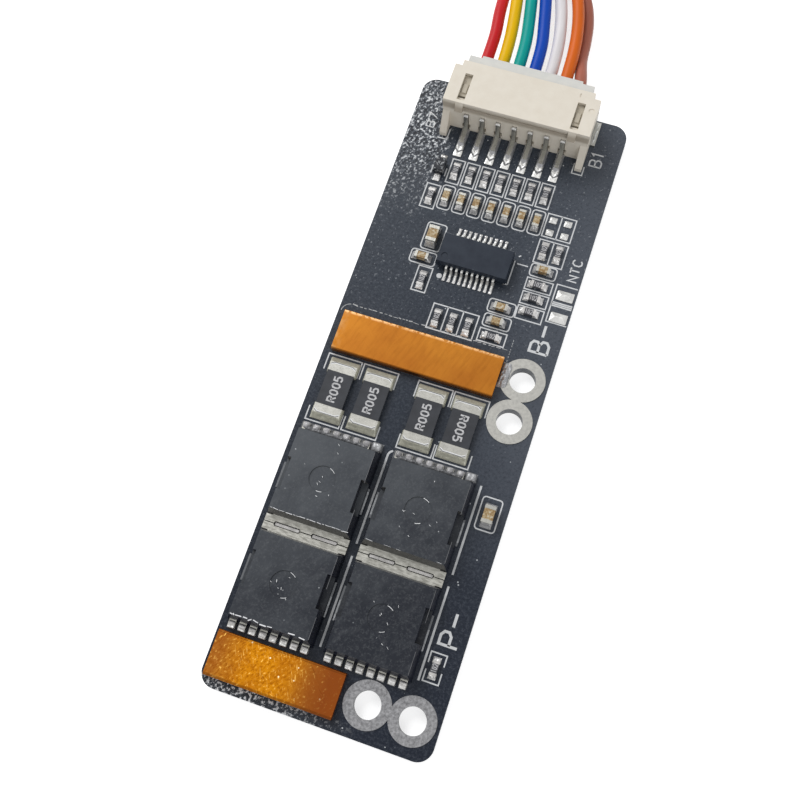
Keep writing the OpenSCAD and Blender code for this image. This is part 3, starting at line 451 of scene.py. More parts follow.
def make_materials():
    MATS.update({
        "laminate": laminate(),
        "copper": copper(),
        "tin": metal("tin_plating", (172, 171, 165), 0.36),
        "frame": frame_tin(),
        "land": ring_tin(),
        "solder": metal("solder", (228, 227, 226), 0.34, mottle=0.35, bumps=0.4, metallic=0.6),
        "pin": pin_solder(),
        "cap": metal("chip_terminal", (200, 198, 196), 0.4, mottle=0.35, metallic=0.5),
        "leg": metal("controller_lead", (208, 208, 205), 0.35, metallic=0.6),
        "toe": toe_solder(),
        "pearl": plastic("hazed_solder", (172, 171, 173), 0.24, mottle=0.45, grain=2.5, bumps=0.3),
        "coated": coated(),
        "bright": metal("solder_bright", (222, 222, 220), 0.4, mottle=0.25, metallic=0.5),
        "slope": metal("solder_slope", (190, 189, 173), 0.42, bumps=0.4, metallic=0.35),
        "blob": metal("solder_blob", (172, 173, 175), 0.4, mottle=0.3, bumps=0.5, metallic=0.4),
        # coat haze between leads, also the painted shadow line in the shunts' terminal grooves and the
        # painted highlight along the transistors' top edges
        "haze_and_painted_light": plastic("lead_haze_and_painted_light", (100, 101, 104), 0.35, mottle=0.3, grain=5),
        "shade": plastic("dark_gap", (20, 20, 22), 0.6, shine=0.1),
        "mould": compound(),
        "chip": controller_compound(),
        "glaze": plastic("resistor_glaze", (84, 84, 88), 0.3, mottle=0.3, shine=0.3),
        "shunt": plastic("shunt_glaze", (52, 54, 59), 0.35, mottle=0.25, shine=0.3),
        "ceramic": ceramic(),
        "header": header_nylon(),
        "plug": plug_nylon(),
        "tie": plastic("tie_nylon", (222, 224, 226), 0.4, mottle=0.03),
        "silk": plastic("print_white", (206, 208, 210), 0.5, mottle=0.1, grain=8),
        "code": plastic("code_grey", (186, 186, 188), 0.5, mottle=0.2, grain=12),
        # painted highlights, and the scratches on the transistors
        "glint_and_scratch": plastic("coat_glint_and_scratch", (232, 233, 235), 0.3, mottle=0.1, grain=10),
        # duller painted highlights on the transistors' wings and the clear coat's rim
        "soft_highlight": plastic("soft_highlight_grey", (170, 173, 176), 0.4, mottle=0.3, grain=12),
        "floor": floor_material(),
    })
    for name, colour in WIRE_COLOURS.items():
        MATS[name] = insulation("insulation_" + name, colour)


# The look of a node is that of the first pattern that its name fits
NODE_LOOKS = {
    "board": "laminate", "*_lands": "land", "*_bar": "copper", "mosfet_?_body": "mould",
    "mosfet_?_frame": "frame", "shunt_?_body": "shunt", "controller_body": "chip", "*_leads": "leg",
    "diode_body": "coated", "*resistor_ends": "cap", "*resistor_bodies": "glaze",
    "*capacitor_bodies": "ceramic", "header_housing": "header", "plug_housing": "plug",
    "hank_tie": "tie", "*": "tin",
}


def dress_nodes():
    for name, obj in NODES.items():
        look = next(look for pattern, look in NODE_LOOKS.items() if fnmatch(name, pattern))
        for slot in obj.material_slots:
            slot.material = MATS[look]


# ---- pieces

def piece(name, data, look):
    obj = put(name, data)
    data.materials.append(MATS[look])
    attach(obj, "root")
    return obj


def finish_mesh(bm, name, look, smooth=False):
    """A piece from a mesh drawn in millimetres."""
    bmesh.ops.scale(bm, vec=(MM, MM, MM), verts=bm.verts)
    mesh = bpy.data.meshes.new(name)
    bm.to_mesh(mesh)
    bm.free()
    if smooth:
        mesh.shade_smooth()
    piece(name, mesh, look)


def islands(name):
    """The lowest and highest corner of each separate solid of a node."""
    mesh = NODES[name].data
    keys = [tuple(round(c * 1e6) for c in vertex.co) for vertex in mesh.vertices]
    above = {key: key for key in keys}

    def top_of(key):
        while above[key] != key:
            key = above[key]
        return key

    for face in mesh.polygons:
        first, *others = [keys[i] for i in face.vertices]
        for other in others:
            above[top_of(other)] = top_of(first)
    groups = {}
    for vertex, key in zip(mesh.vertices, keys):
        groups.setdefault(top_of(key), []).append(vertex.co / MM)
    boxes = [(Vector(map(min, *g)), Vector(map(max, *g))) for g in groups.values()]
    return sorted(boxes, key=lambda b: (round(b[0].x, 2), round(b[0].y, 2)))


# ---- print and marks

PRINT_T = 0.02
LINE = 0.15
LONG_LINE = 0.24


def ribbon(bm, line, width=LINE, low=TOP, closed=False, thick=PRINT_T):
    """A flat strip along a line, with mitred corners."""
    points = [Vector(p) for p in line]
    rows = []
    for i, p in enumerate(points):
        before = points[i - 1] if closed or i else None
        after = points[(i + 1) % len(points)] if closed or i < len(points) - 1 else None
        into = (p - before).normalized() if before is not None else (after - p).normalized()
        out = (after - p).normalized() if after is not None else into
        side = Vector((-into.y - out.y, into.x + out.x)).normalized()
        reach = width / 2 / max(0.4, side.dot(Vector((-into.y, into.x))))
        a = p + side * reach
        b = p - side * reach
        corners = ((a.x, a.y, low), (a.x, a.y, low + thick), (b.x, b.y, low + thick), (b.x, b.y, low))
        rows.append([bm.verts.new(c) for c in corners])
    count = len(rows) if closed else len(rows) - 1
    for i in range(count):
        first, second = rows[i], rows[(i + 1) % len(rows)]
        for k in range(4):
            bm.faces.new((first[k], second[k], second[(k + 1) % 4], first[(k + 1) % 4]))
    if not closed:
        bm.faces.new(rows[0])
        bm.faces.new(reversed(rows[-1]))


def arc(centre, radius, start, end, step=15):
    turns = max(2, round(abs(end - start) / step))
    angles = [math.radians(start + (end - start) * i / turns) for i in range(turns + 1)]
    return [(centre[0] + radius * math.cos(a), centre[1] + radius * math.sin(a)) for a in angles]


def outline(x0, y0, x1, y1, radius=0.0):
    """A rectangle, with round corners where radius is given."""
    if not radius:
        return [(x0, y0), (x1, y0), (x1, y1), (x0, y1)]
    x0, y0, x1, y1 = x0 + radius, y0 + radius, x1 - radius, y1 - radius
    line = []
    for start, centre in ((0, (x1, y1)), (90, (x0, y1)), (180, (x0, y0)), (270, (x1, y0))):
        line += arc(centre, radius, start, start + 90, 30)
    return line


def disc(bm, centre, radius, sides=20):
    """A printed dot."""
    rim = arc(centre, radius, 0, 360, 360 / sides)[:-1]
    lower = [bm.verts.new((x, y, TOP)) for x, y in rim]
    upper = [bm.verts.new((x, y, TOP + PRINT_T)) for x, y in rim]
    bm.faces.new(upper)
    for i in range(sides):
        k = (i + 1) % sides
        bm.faces.new((lower[i], lower[k], upper[k], upper[i]))


# Strokes of each character, in a box one unit wide and high
STROKES = {
    "B": [[(0, 0), (0, 1), (0.65, 1), (0.9, 0.88), (0.9, 0.65), (0.65, 0.53), (0, 0.53)],
          [(0.65, 0.53), (1, 0.38), (1, 0.15), (0.7, 0), (0, 0)]],
    "P": [[(0, 0), (0, 1), (0.7, 1), (1, 0.85), (1, 0.6), (0.7, 0.45), (0, 0.45)]],
    "R": [[(0, 0), (0, 1), (0.7, 1), (1, 0.85), (1, 0.65), (0.7, 0.5), (0, 0.5)], [(0.5, 0.5), (1, 0)]],
    "N": [[(0, 0), (0, 1), (1, 0), (1, 1)]],
    "T": [[(0, 1), (1, 1)], [(0.5, 1), (0.5, 0)]],
    "C": [[(1, 0.85), (0.7, 1), (0.3, 1), (0, 0.75), (0, 0.25), (0.3, 0), (0.7, 0), (1, 0.15)]],
    "0": [[(0.5, 1), (0.9, 0.85), (1, 0.5), (0.9, 0.15), (0.5, 0), (0.1, 0.15), (0, 0.5), (0.1, 0.85),
           (0.5, 1)]],
    "1": [[(0.25, 0.8), (0.55, 1), (0.55, 0)]],
    "2": [[(0, 0.8), (0.3, 1), (0.75, 1), (1, 0.8), (0.9, 0.5), (0, 0), (1, 0)]],
    "5": [[(0.95, 1), (0.1, 1), (0.05, 0.55), (0.6, 0.62), (1, 0.42), (0.95, 0.12), (0.5, 0), (0, 0.1)]],
    "7": [[(0, 1), (1, 1), (0.35, 0)]],
    "-": [[(0, 0.5), (1, 0.5)]],
}


def write(bm, text, start, along, height, width, gap, stroke, low=TOP, thick=PRINT_T):
    """Characters from start onwards in the direction along; their tops are a quarter turn to its left."""
    along = Vector(along)
    up = Vector((-along.y, along.x))
    for i, letter in enumerate(text):
        corner = Vector(start) + along * i * (width + gap)
        for line in STROKES[letter]:
            points = [corner + along * x * width + up * y * height for x, y in line]
            ribbon(bm, points, stroke, low, thick=thick)


def make_print():
    """The board's printed outlines and its terminal legends."""
    bm = bmesh.new()
    for low, high in islands("filter_capacitor_bodies"):
        x = (low.x + high.x) / 2
        ribbon(bm, outline(x - 0.78, 21.85, x + 0.78, 25.05, 0.35), closed=True)
        ribbon(bm, outline(x - 0.78, 25.45, x + 0.78, 28.7), closed=True)
    # resistors and their groups have square frames, capacitors have round ones
    for box in ((-8.25, 21.5, -6.55, 24.7), (-5.75, 10.9, -4.05, 14.1), (6.85, 18.5, 10.3, 21.55),
                (6.85, 22.0, 10.3, 25.05), (6.85, 11.15, 9.95, 12.8), (6.85, 13.1, 9.95, 14.65),
                (6.85, 14.95, 9.95, 16.45), (3.5, 7.2, 6.7, 8.8), (-2.55, 6.9, 2.95, 10.05)):
        ribbon(bm, outline(*box), closed=True)
    for box in ((-6.45, 16.3, -4.1, 19.85), (-7.2, 14.3, -4.1, 16.0), (3.5, 11.0, 6.7, 12.65),
                (3.5, 9.15, 6.7, 10.75), (6.85, 16.75, 9.95, 18.35), (9.85, -13.7, 12.1, -9.95)):
        ribbon(bm, outline(*box, 0.35), closed=True)
    # lines between grouped parts, and round the controller, the connector's feet and the sensor lands
    for x, y0, y1 in ((8.57, 18.5, 21.55), (8.57, 22.0, 25.05), (-0.79, 6.9, 10.05), (1.09, 6.9, 10.05),
                      (4.85, 14.8, 18.0), (-8.35, 26.1, 27.2), (-6.6, 26.1, 27.2)):
        ribbon(bm, [(x, y0), (x, y1)])
    for line in ([(-3.9, 18.7), (4.2, 18.7), (4.3, 18.9)], [(4.85, 14.8), (4.3, 14.8)],
                 [(5.15, 17.7), (6.5, 17.7)], [(5.1, 18.6), (5.35, 18.8)],
                 [(-7.9, 32.4), (-7.9, 31.0), (-9.1, 31.0)],
                 [(7.9, 32.4), (7.9, 31.0), (9.15, 31.0), (9.15, 32.2)],
                 [(12.85, 16.6), (10.4, 16.6), (10.4, 11.8), (12.85, 11.8)]):
        ribbon(bm, line)
    for y in (13.9, 14.12, 14.34):
        ribbon(bm, [(10.4, y), (12.85, y)], 0.17)
    disc(bm, (-3.1, 13.5), 0.32)
    # brackets at the ends of the shunts and of the gate resistor
    for x0, x1 in ((-12.15, -8.1), (-7.8, -3.65), (-1.2, 2.9), (3.15, 7.25)):
        for near, far in ((-1.5, 0.5), (-6.1, -7.75)):
            ribbon(bm, [(x0, near), (x0, far), (x1, far), (x1, near)])
    for y0, y1 in ((-27.6, -28.8), (-30.75, -29.5)):
        ribbon(bm, [(9.65, y1), (9.65, y0), (11.4, y0), (11.4, y1)])
    # long lines beside the transistors
    for x, y0, y1 in ((9.25, -9.0, -19.3), (9.25, -20.6, -30.9), (-1.75, -20.8, -31.0)):
        ribbon(bm, [(x, y0), (x, y1)], LONG_LINE)
    ribbon(bm, [(-1.75, -19.4), (-1.75, -8.9)] + arc((-1.1, -8.9), 0.65, 180, 110)[1:], LONG_LINE)
    # legend, start, height, width, gap and stroke
    for text, start, *sizes in (("B", (11.7, 7.75), 2.1, 1.45, 0.4, 0.3),
                                ("-", (11.7, 9.75), 2.1, 1.45, 0.4, 0.32),
                                ("P", (12.1, -26.6), 2.05, 1.4, 0.4, 0.3),
                                ("-", (12.1, -24.55), 2.05, 1.45, 0.4, 0.32),
                                ("NTC", (12.42, 17.4), 1.04, 0.7, 0.33, 0.17),
                                ("B1", (11.0, 32.6), 1.4, 0.9, 0.25, 0.18),
                                ("B7", (-10.0, 32.1), 0.95, 0.8, 0.35, 0.13)):
        write(bm, text, start, (0, 1), *sizes)
    finish_mesh(bm, "board_print", "silk")


def make_codes():
    """Value numbers on the shunts and the chip resistors."""
    bm = bmesh.new()
    for number in NUMBERS:
        low, high = box_mm("shunt_%d_body" % number)
        middle = (low + high) / 2
        along = -1 if number == 4 else 1
        start = (middle.x + 0.46 * along, middle.y - 1.5 * along)
        write(bm, "R005", start, (0, along), 0.92, 0.54, 0.28, 0.19, high.z, 0.008)
    finish_mesh(bm, "shunt_codes", "code")
    bm = bmesh.new()
    for node, text in (("balance_resistor_bodies", "101"), ("control_resistor_bodies", "102")):
        for low, high in islands(node):
            middle = (low + high) / 2
            if high.x - low.x < high.y - low.y:
                start, along = (middle.x + 0.26, middle.y - 0.42), (0, 1)
            else:
                start, along = (middle.x - 0.42, middle.y - 0.26), (1, 0)
            write(bm, text, start, along, 0.52, 0.2, 0.12, 0.08, high.z, MARK_T)
    finish_mesh(bm, "chip_codes", "code")


MARK_R = 1.45
MARK_T = 0.006
EDGE_T = 0.008
WING_TOP = 2.05


def make_terminal_edges():
    """The shunts' terminals: a painted highlight along the bent edge, and a painted shadow line at the
    groove where the solder begins.
    """
    light = bmesh.new()
    dark = bmesh.new()
    for number in NUMBERS:
        body_low = box_mm("shunt_%d_body" % number)[0]
        for low, high in islands("shunt_%d_ends" % number):
            out = -1 if low.y < body_low.y else 1
            edge = low.y if out < 0 else high.y
            corners = ((low.x + 0.12, 0.3), (low.x + 0.5, 0.06), (high.x - 0.5, 0.06), (high.x - 0.12, 0.3))
            # a painted shadow line at the groove, and a painted highlight just inside it
            for bm, further, width in ((dark, 0, 0.07), (light, 0.11, 0.09)):
                line = [(x, edge - out * (inset + further)) for x, inset in corners]
                ribbon(bm, line, width, high.z, thick=EDGE_T)
    finish_mesh(light, "terminal_edge_highlights", "glint_and_scratch")
    finish_mesh(dark, "terminal_groove_shadows", "haze_and_painted_light")


def make_marks():
    """Marks on the transistors: painted highlights on parts of a moulded circle's rim, and short scratches.
    """
    bm = bmesh.new()
    for number, seed in zip(NUMBERS, (3, 5, 11, 17)):
        low, high = box_mm("mosfet_%d_body" % number)
        middle = (low + high) / 2
        chance = random.Random(seed)
        # painted highlights on the rim of the moulded circle
        for start, span in ((50, 30), (265, 25)):
            start += chance.uniform(-15, 15)
            rim = arc(middle, MARK_R, start, start + span, 8)
            ribbon(bm, rim, chance.uniform(0.04, 0.07), high.z, thick=MARK_T)
        for _ in range(8):
            x = middle.x + chance.gauss(0, 1.1)
            y = middle.y + chance.gauss(0, 1.3)
            turn = math.radians(chance.uniform(20, 75))
            reach = chance.uniform(0.06, 0.3)
            end = (x + reach * math.cos(turn), y - reach * math.sin(turn))
            ribbon(bm, [(x, y), end], chance.uniform(0.03, 0.06), high.z, thick=MARK_T)
    finish_mesh(bm, "transistor_marks", "glint_and_scratch")


def make_glints():
    """Coat that catches the light along the near edge of three transistors."""
    bm = bmesh.new()
    for number, inset, share, wide, wander in ((1, 0.47, 1.0, 0.05, 0.06), (2, 0.47, 0.5, 0.035, 0.06),
                                               (3, 0.5, 0.85, 0.1, 0.2)):
        low, high = box_mm("mosfet_%d_body" % number)
        chance = random.Random(number)
        x = low.x + 0.6
        while x < high.x - 0.7:
            reach = chance.uniform(0.15, 0.8)
            y0, y1 = (low.y + inset + chance.uniform(-0.3, 1) * wander for _ in range(2))
            if chance.random() < share:
                width = chance.uniform(0.6, 1.3) * wide
                ribbon(bm, [(x, y0), (x + reach, y1)], width, high.z, thick=MARK_T)
            x += reach + chance.uniform(0.02, 0.2)
    finish_mesh(bm, "coat_glints", "glint_and_scratch")


def make_edges():
    """Painted highlights on the metal of the transistors' wings, and along the right edge of their tops."""
    wings = bmesh.new()
    tops = bmesh.new()
    for number in NUMBERS:
        low, high = box_mm("mosfet_%d_body" % number)
        middle = (low.y + high.y) / 2
        # painted highlights on the wings' metal
        # the left wings of the left column lie at the board's edge and stay dull
        for x in (low.x - 0.06, high.x + 0.06):
            if number in (2, 4) or x > low.x:
                ribbon(wings, [(x, middle - 1.75), (x, middle + 0.55)], 0.17, WING_TOP, thick=0.01)
        # painted highlight along the right edge of the top
        edge = high.x - 0.42
        for y0, y1 in ((low.y + 0.6, middle - 2.1), (middle + 1.0, high.y - 0.6)):
            ribbon(tops, [(edge, y0), (edge, y1)], 0.05, high.z, thick=MARK_T)
    finish_mesh(wings, "wing_highlights", "soft_highlight")
    finish_mesh(tops, "top_edge_highlights", "haze_and_painted_light")


def make_tab_shades():
    """The solder-filled slots where two tabs meet, their dark rims, and the seam between the tabs."""
    shades = bmesh.new()
    filling = bmesh.new()
    for upper, lower in ((1, 3), (2, 4)):
        low, high = box_mm("mosfet_%d_frame" % upper)
        lower_top = box_mm("mosfet_%d_frame" % lower)[1]
        middle = (low.x + high.x) / 2
        seam = (low.y + lower_top.y) / 2
        ribbon(shades, [(low.x + 0.2, seam), (high.x - 0.2, seam)], 0.07, low.z, thick=0.3)
        for x in (middle - 2.2, middle + 2.2):
            ribbon(filling, [(x - 1.42, seam), (x + 1.42, seam)], 0.44, low.z, thick=0.38)
            rim = outline(x - 1.5, seam - 0.22, x + 1.5, seam + 0.22, 0.18)
            ribbon(shades, rim, 0.08, lower_top.z, closed=True, thick=EDGE_T)
    finish_mesh(shades, "tab_shades", "shade")
    finish_mesh(filling, "slot_solder", "cap")


def make_lead_haze():
    """Clear coat gathered between the upper row's leads."""
    bm = bmesh.new()
    for number in (1, 2):
        low, high = box_mm("mosfet_%d_body" % number)
        a = (low.x + 0.05, high.y - 0.8)
        b = (high.x - 1.1, high.y + 0.95)
        mound(bm, a, b, TOP, dome(a, b, 0.78, 0.12), 0.1)
    finish_mesh(bm, "lead_coat", "haze_and_painted_light", smooth=True)


def make_coat_edge():
    """Painted glints along the broken rim of the clear coat that covers the power side."""
    far_y, left_x, right_x = 7.0, -11.6, 7.62
    bm = bmesh.new()
    chance = random.Random(23)
    x = left_x
    while x < 7.2:
        reach = chance.uniform(0.15, 0.7)
        wide = chance.uniform(0.05, 0.13)
        start = (x, far_y + chance.uniform(-0.06, 0.06))
        ribbon(bm, [start, (x + reach, far_y + chance.uniform(-0.06, 0.06))], wide, thick=0.03)
        x += reach + chance.uniform(0.05, 0.35)
    y = 3.6
    while y < 8.6:
        reach = chance.uniform(0.1, 0.35)
        ribbon(bm, [(right_x, y), (right_x, y + reach)], 0.07, thick=0.03)
        y += reach + chance.uniform(0.08, 0.3)
    ribbon(bm, arc((left_x, far_y - 1.1), 1.1, 178, 100), 0.08, thick=0.03)
    finish_mesh(bm, "clear_coat_rim_glints", "soft_highlight")


# ---- solder

PIN_FACE = 32.68


def mound(bm, low, high, base, height, cell=0.09):
    """A surface over a rectangle that rises by height(x, y), with its rim on the base."""
    columns = max(4, round((high[0] - low[0]) / cell))
    rows = max(4, round((high[1] - low[1]) / cell))
    grid = []
    for j in range(rows + 1):
        y = low[1] + (high[1] - low[1]) * j / rows
        line = []
        for i in range(columns + 1):
            x = low[0] + (high[0] - low[0]) * i / columns
            rim = i in (0, columns) or j in (0, rows)
            line.append(bm.verts.new((x, y, base if rim else base + height(x, y))))
        grid.append(line)
    for j in range(rows):
        for i in range(columns):
            bm.faces.new((grid[j][i], grid[j][i + 1], grid[j + 1][i + 1], grid[j + 1][i]))


def lump(x, y, size):
    return noise.noise(Vector((x / size, y / size, 3.7)))


def edge_room(x, y, low, high):
    return min(x - low[0], high[0] - x, y - low[1], high[1] - y)


def fillet(low, high, core, rise, reach, rough):
    """Height of solder drawn up to a piece and thinner towards the rim of its land."""
    def height(x, y):
        away = math.hypot(max(core[0][0] - x, 0, x - core[1][0]), max(core[0][1] - y, 0, y - core[1][1]))
        near = max(0, 1 - away / reach) ** 1.5
        room = min(1, edge_room(x, y, low, high) / 0.12)
        return max(0.01, (0.05 + rise * near + rough * lump(x, y, 0.22)) * room)
    return height


def dome(low, high, rise, rough):
    """Height of a blob that fills its rectangle."""
    half = min(high[0] - low[0], high[1] - low[1]) / 2

    def height(x, y):
        room = max(0, edge_room(x, y, low, high)) / half
        return max(0.01, rise * min(1, 1.15 * room) + rough * lump(x, y, 0.25) * min(1, 3 * room))
    return height


def slab(low, high, rise, rough):
    """Height of a flat-topped blob with steep sides."""
    def height(x, y):
        return (rise + rough * lump(x, y, 0.2)) * min(1, 0.3 + edge_room(x, y, low, high) / 0.1)
    return height


def oval(low, high, rise, rough):
    """Height of a rounded blob."""
    def height(x, y):
        u = (2 * x - low[0] - high[0]) / (high[0] - low[0])
        v = (2 * y - low[1] - high[1]) / (high[1] - low[1])
        round_off = max(0, 1 - u ** 4 - v ** 4)
        return max(0.01, (rise + rough * lump(x, y, 0.3)) * math.sqrt(round_off))
    return height


def chevron(low, high, under):
    """Another height with an arrow-shaped ridge near its toe."""
    def height(x, y):
        aside = abs(2 * x - low.x - high.x) / (high.x - low.x)
        away = abs(y - low.y - 0.85 - 0.45 * aside)
        room = min(1, edge_room(x, y, low, high) / 0.15)
        return under(x, y) + 0.16 * max(0, 1 - away / 0.22) * room
    return height


def meets(a, b):
    return a[0].x < b[1].x and b[0].x < a[1].x and a[0].y < b[1].y and b[0].y < a[1].y


def make_solder():
    """Solder on each land of the control side, drawn up to what stands on it."""
    chips = [b for name in NODES if fnmatch(name, "*r_ends") for b in islands(name)]
    legs = islands("controller_leads") + islands("diode_leads")
    feet = islands("header_pins")
    joints, pins, bare, crowns = (bmesh.new() for _ in range(4))
    for low, high in islands("control_lands"):
        on = [b for b in chips + legs + feet if meets((low, high), b)]
        if not on:
            rise, rough = (0.22, 0.06) if high.y - low.y < 2 else (0.3, 0.2)
            mound(bare, low, high, LAND_TOP, dome(low, high, rise, rough))
            continue
        core_low, core_high = core = on[0]
        if core in feet:
            near = (core_low, Vector((core_high.x, min(core_high.y, high.y - 0.3), 0)))
            ridged = chevron(low, high, fillet(low, high, near, 0.42, 1.3, 0.03))
            mound(pins, low, high, LAND_TOP, ridged, 0.08)
            a, b = (core_low.x - 0.04, PIN_FACE - 0.05), (core_high.x + 0.04, PIN_FACE + 0.32)
            mound(crowns, a, b, core_high.z - 0.04, oval(a, b, 0.2, 0.0), 0.05)
        elif core in legs:
            mound(joints, low, high, LAND_TOP, fillet(low, high, core, 0.16, 0.5, 0.08), 0.07)
        else:
            rise = 0.75 * (core_high.z - LAND_TOP)
            mound(joints, low, high, LAND_TOP, fillet(low, high, core, rise, 0.55, 0.12), 0.07)
    for low, high in islands("sensor_lands"):
        mound(bare, low, high, LAND_TOP, dome(low, high, 0.3, 0.02), 0.1)
    for bm, name, look in ((joints, "land_solder", "solder"), (pins, "pin_solder", "pin"),
                           (bare, "bare_land_solder", "bright"), (crowns, "pin_crowns", "bright")):
        finish_mesh(bm, name, look, smooth=bm != bare)


def make_power_solder():
    """Solder at the shunts' ends, on the transistors' leads and beside the upper bar."""
    shunts = [b for number in NUMBERS for b in islands("shunt_%d_ends" % number)]
    slopes, toes, pearls, row_ends, bar = (bmesh.new() for _ in range(5))
    lands = islands("power_lands")
    for low, high in lands:
        on = [b for b in shunts if meets((low, high), b)]
        if on:
            mound(slopes, low, high, LAND_TOP, fillet(low, high, on[0], 0.5, 0.75, 0.06), 0.12)
        elif high.x - low.x < 1 and low.y > -12:
            last = not any(0.5 < other[0].x - low.x < 1.5 and other[0].y == low.y for other in lands)
            aside, back, front = (0.25, 1.1, 0.2) if last else (0.05, 0.9, 0.05)
            a, b = (low.x - aside, high.y - back), (high.x + aside, high.y + front)
            mound(row_ends if last else pearls, a, b, TOP, oval(a, b, 0.8, 0.08), 0.08)
        elif high.x - low.x < 1:
            a, b = (low.x - 0.02, low.y - 0.06), (high.x + 0.02, low.y + 0.85)
            mound(toes, a, b, TOP, slab(a, b, 0.68, 0.06), 0.07)
    a, b = (7.35, 2.5), (8.5, 5.6)
    mound(bar, a, b, TOP, oval(a, b, 0.32, 0.3), 0.1)
    for bm, name, look in ((slopes, "shunt_solder", "slope"), (toes, "toe_solder", "toe"),
                           (pearls, "lead_solder", "pearl"), (row_ends, "row_end_solder", "blob"),
                           (bar, "bar_solder", "blob")):
        finish_mesh(bm, name, look, smooth=True)


# ---- leads

WIRE_D = 1.5
WIRE_LENGTH = 200
TIP_LENGTH = 3
TIP_D = 0.9
WIRE_Y = [39.9, 42, 45, 48, 51, 54, 57, 60, 64, 68, 72]
# Each lead: X and Z of its middle at those Y, and its column of the hank
WIRES = {
    "red": ([-6, -6, -6.1, -6.5, -6.8, -7.1, -7.2, -7.1, -6.95, -6.85, -6.85],
            [4.7, 4.7, 4.7, 4.6, 4.1, 3.2, 2.2, 1.35, 0.85, 0.75, 0.75], "outer"),
    "yellow": ([-4, -4, -4.2, -4.6, -5.1, -5.6, -6.1, -6.5, -6.8, -6.85, -6.85],
               [4.7, 4.7, 4.7, 4.7, 4.6, 4.3, 3.7, 2.95, 2.45, 2.3, 2.3], "outer"),
    "teal": ([-2, -2, -2.2, -2.7, -3.3, -4, -4.8, -5.6, -6.5, -6.85, -6.85],
             [4.7, 4.7, 4.7, 4.7, 4.75, 4.8, 4.75, 4.45, 4.05, 3.85, 3.85], "outer"),
    "blue": ([0, 0, -0.2, -0.8, -1.5, -2.4, -3.5, -4.8, -6.3, -6.85, -6.85],
             [4.7, 4.7, 4.7, 4.7, 4.8, 5.2, 5.7, 5.9, 5.65, 5.4, 5.4], "outer"),
    "white": ([2, 2, 1.8, 1.3, 0.5, -0.6, -1.9, -3.3, -4.85, -5.3, -5.3],
              [4.7, 4.7, 4.7, 4.7, 4.7, 4.7, 4.65, 4.4, 4, 3.85, 3.85], "inner"),
    "orange": ([4, 3.95, 3.8, 3.4, 2.7, 1.6, 0.2, -1.7, -4.2, -5.2, -5.3],
               [4.7, 4.7, 4.7, 4.7, 4.6, 4.4, 3.95, 3.2, 2.45, 2.3, 2.3], "inner"),
    "brown": ([6, 5.6, 4.9, 4.6, 4.1, 3.1, 1.4, -0.8, -3.9, -5.2, -5.3],
              [4.7, 4.35, 3.45, 3.1, 2.9, 2.5, 1.9, 1.3, 0.85, 0.75, 0.75], "inner"),
}
HANK_X = 2
HANK_Y0 = 72
HANK_Y1 = 100
FOLD_X = 3.55
TIE_Y = 86
WAIST_IN = 3.4
WAIST_LEN = 20
TIE_LIFT = 0.66
TIE_REACH = 7
# Radii of a lead's first end turn, its fold and its second end turn
TURNS = {"outer": (8.85, 7.3, 5.75), "inner": (7.3, 5.75, 4.2)}


def smooth_line(points, pieces=6):
    """Catmull-Rom curve through the points."""
    line = []
    ends = [points[0] * 2 - points[1]] + points + [points[-1] * 2 - points[-2]]
    for a, b, c, d in zip(ends, ends[1:], ends[2:], ends[3:]):
        for i in range(pieces):
            t = i / pieces
            line.append(0.5 * (2 * b + (c - a) * t + (2 * a - 5 * b + 4 * c - d) * t * t
                               + (3 * b - a - 3 * c + d) * t ** 3))
    line.append(points[-1])
    return line


def half_turn(x, y, radius, z, angles):
    return [Vector((x + radius * math.cos(a), y + radius * math.sin(a), z)) for a in angles]


def hank_runs(radii, z):
    """Turns of one lead: up the left side, round, down the right, under, up and round again, and down."""
    first, fold, second = radii
    step = 1.2
    rows = int((HANK_Y1 - HANK_Y0) / step)
    up = [HANK_Y0 + (HANK_Y1 - HANK_Y0) * i / rows for i in range(1, rows)]
    turn = [math.radians(a) for a in range(180, -1, -9)]
    line = []
    for radius in (first, second):
        line += [Vector((HANK_X - radius, y, z)) for y in up]
        line += half_turn(HANK_X, HANK_Y1, radius, z, turn)
        line += [Vector((HANK_X + radius, y, z)) for y in reversed(up)]
        if radius == first:
            line += half_turn(FOLD_X, HANK_Y0, fold, z, [-a for a in reversed(turn)])
    line.append(Vector((HANK_X + second, HANK_Y0 - 1, z)))
    return [drawn_in(p) for p in line]


def drawn_in(p):
    """A point of the hank drawn in to the tie's waist and lifted over its band."""
    away = p.y - TIE_Y
    if abs(away) >= WAIST_LEN / 2:
        return p
    pull = (1 + math.cos(2 * math.pi * away / WAIST_LEN)) / 2
    side = 1 if p.x > HANK_X else -1
    lift = TIE_LIFT * (1 + math.cos(math.pi * min(1, abs(away) / TIE_REACH))) / 2
    return Vector((p.x - side * WAIST_IN * pull, p.y, p.z + lift))


def cut_to(line, length):
    """The line's first stretch of that length."""
    kept = [line[0]]
    run = 0
    for a, b in zip(line, line[1:]):
        part = (b - a).length
        if run + part >= length:
            kept.append(a + (b - a) * ((length - run) / part))
            return kept
        run += part
        kept.append(b)
    return kept


def tube(name, line, diameter, look):
    data = bpy.data.curves.new(name, "CURVE")
    data.dimensions = "3D"
    data.bevel_depth = diameter / 2 * MM
    data.bevel_resolution = 4
    data.use_fill_caps = True
    spline = data.splines.new("POLY")
    spline.points.add(len(line) - 1)
    for point, p in zip(spline.points, line):
        point.co = (*(p * MM), 1)
    spline.use_smooth = True
    return piece(name, data, look)


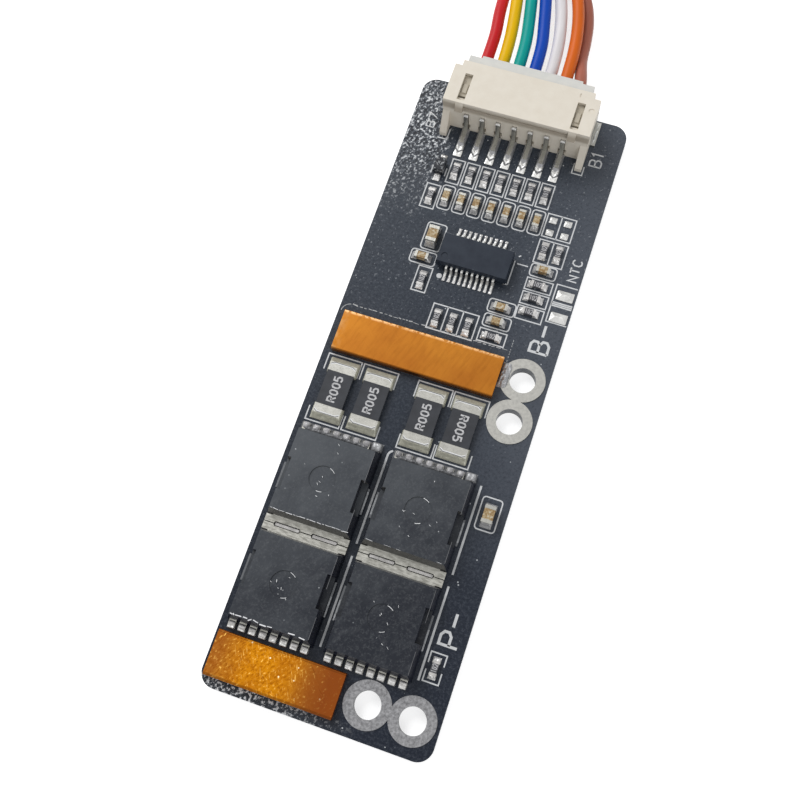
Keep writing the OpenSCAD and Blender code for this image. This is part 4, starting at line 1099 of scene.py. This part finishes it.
def make_leads():
    for colour, (xs, zs, column) in WIRES.items():
        stations = [Vector(p) for p in zip(xs, WIRE_Y, zs)]
        route = smooth_line(stations) + hank_runs(TURNS[column], zs[-1])
        line = cut_to(route, WIRE_LENGTH)
        tip_line = [line[-1], line[-1] + (line[-1] - line[-2]).normalized() * TIP_LENGTH]
        lead = tube("lead_" + colour, line, WIRE_D, colour)
        tip = tube("tip_" + colour, tip_line, TIP_D, "solder")
        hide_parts("wire_" + colour, *(["wire_hank"] if colour == "blue" else []))


# ---- floor and light

FLOOR_HALF = 1.2
FLOOR_Z = -0.00002


def make_floor():
    """A wide floor just under the board."""
    mesh = bpy.data.meshes.new("floor")
    corners = [(x * FLOOR_HALF, y * FLOOR_HALF, 0) for x, y in ((-1, -1), (1, -1), (1, 1), (-1, 1))]
    mesh.from_pydata(corners, [], [(0, 1, 2, 3)])
    obj = put("floor", mesh)
    obj.location.z = FLOOR_Z
    mesh.materials.append(MATS["floor"])


def area_light(name, spot, power, side=0.5):
    """A square area light at spot, in metres, that faces the origin."""
    data = bpy.data.lights.new(name, "AREA")
    data.shape = "RECTANGLE"
    data.size = data.size_y = side
    data.energy = power
    obj = put(name, data)
    obj.location = spot
    obj.rotation_euler = (-Vector(spot)).to_track_quat("-Z", "Y").to_euler()


def make_lights():
    """Soft light from all round that is seen as white, a key light and a weaker fill."""
    world = bpy.data.worlds.new("world")
    bpy.context.scene.world = world
    world.use_nodes = True
    tree = world.node_tree
    tree.nodes.clear()
    path = add(tree, "LightPath").outputs
    seen = path["Is Camera Ray"]
    for ray in ("Is Glossy Ray", "Is Transmission Ray"):
        seen = add(tree, "Math", {0: seen, 1: path[ray]}, operation="MAXIMUM").outputs[0]
    soft, white = (add(tree, "Background", {"Color": (1, 1, 1, 1), "Strength": strength}).outputs[0]
                   for strength in (0.42, 1))
    choice = add(tree, "MixShader", {0: seen, 1: soft, 2: white})
    add(tree, "OutputWorld", {"Surface": choice.outputs[0]})
    area_light("key", (-0.5, 0.42, 0.6), 5)
    area_light("fill", (0.45, -0.5, 0.6), 1.5)


# ---- build

make_camera()
make_materials()
make_leads()
dress_nodes()
make_print()
make_codes()
make_terminal_edges()
make_marks()
make_glints()
make_edges()
make_tab_shades()
make_lead_haze()
make_coat_edge()
make_solder()
make_power_solder()
make_floor()
make_lights()

bpy.context.scene.view_settings.view_transform = "Standard"
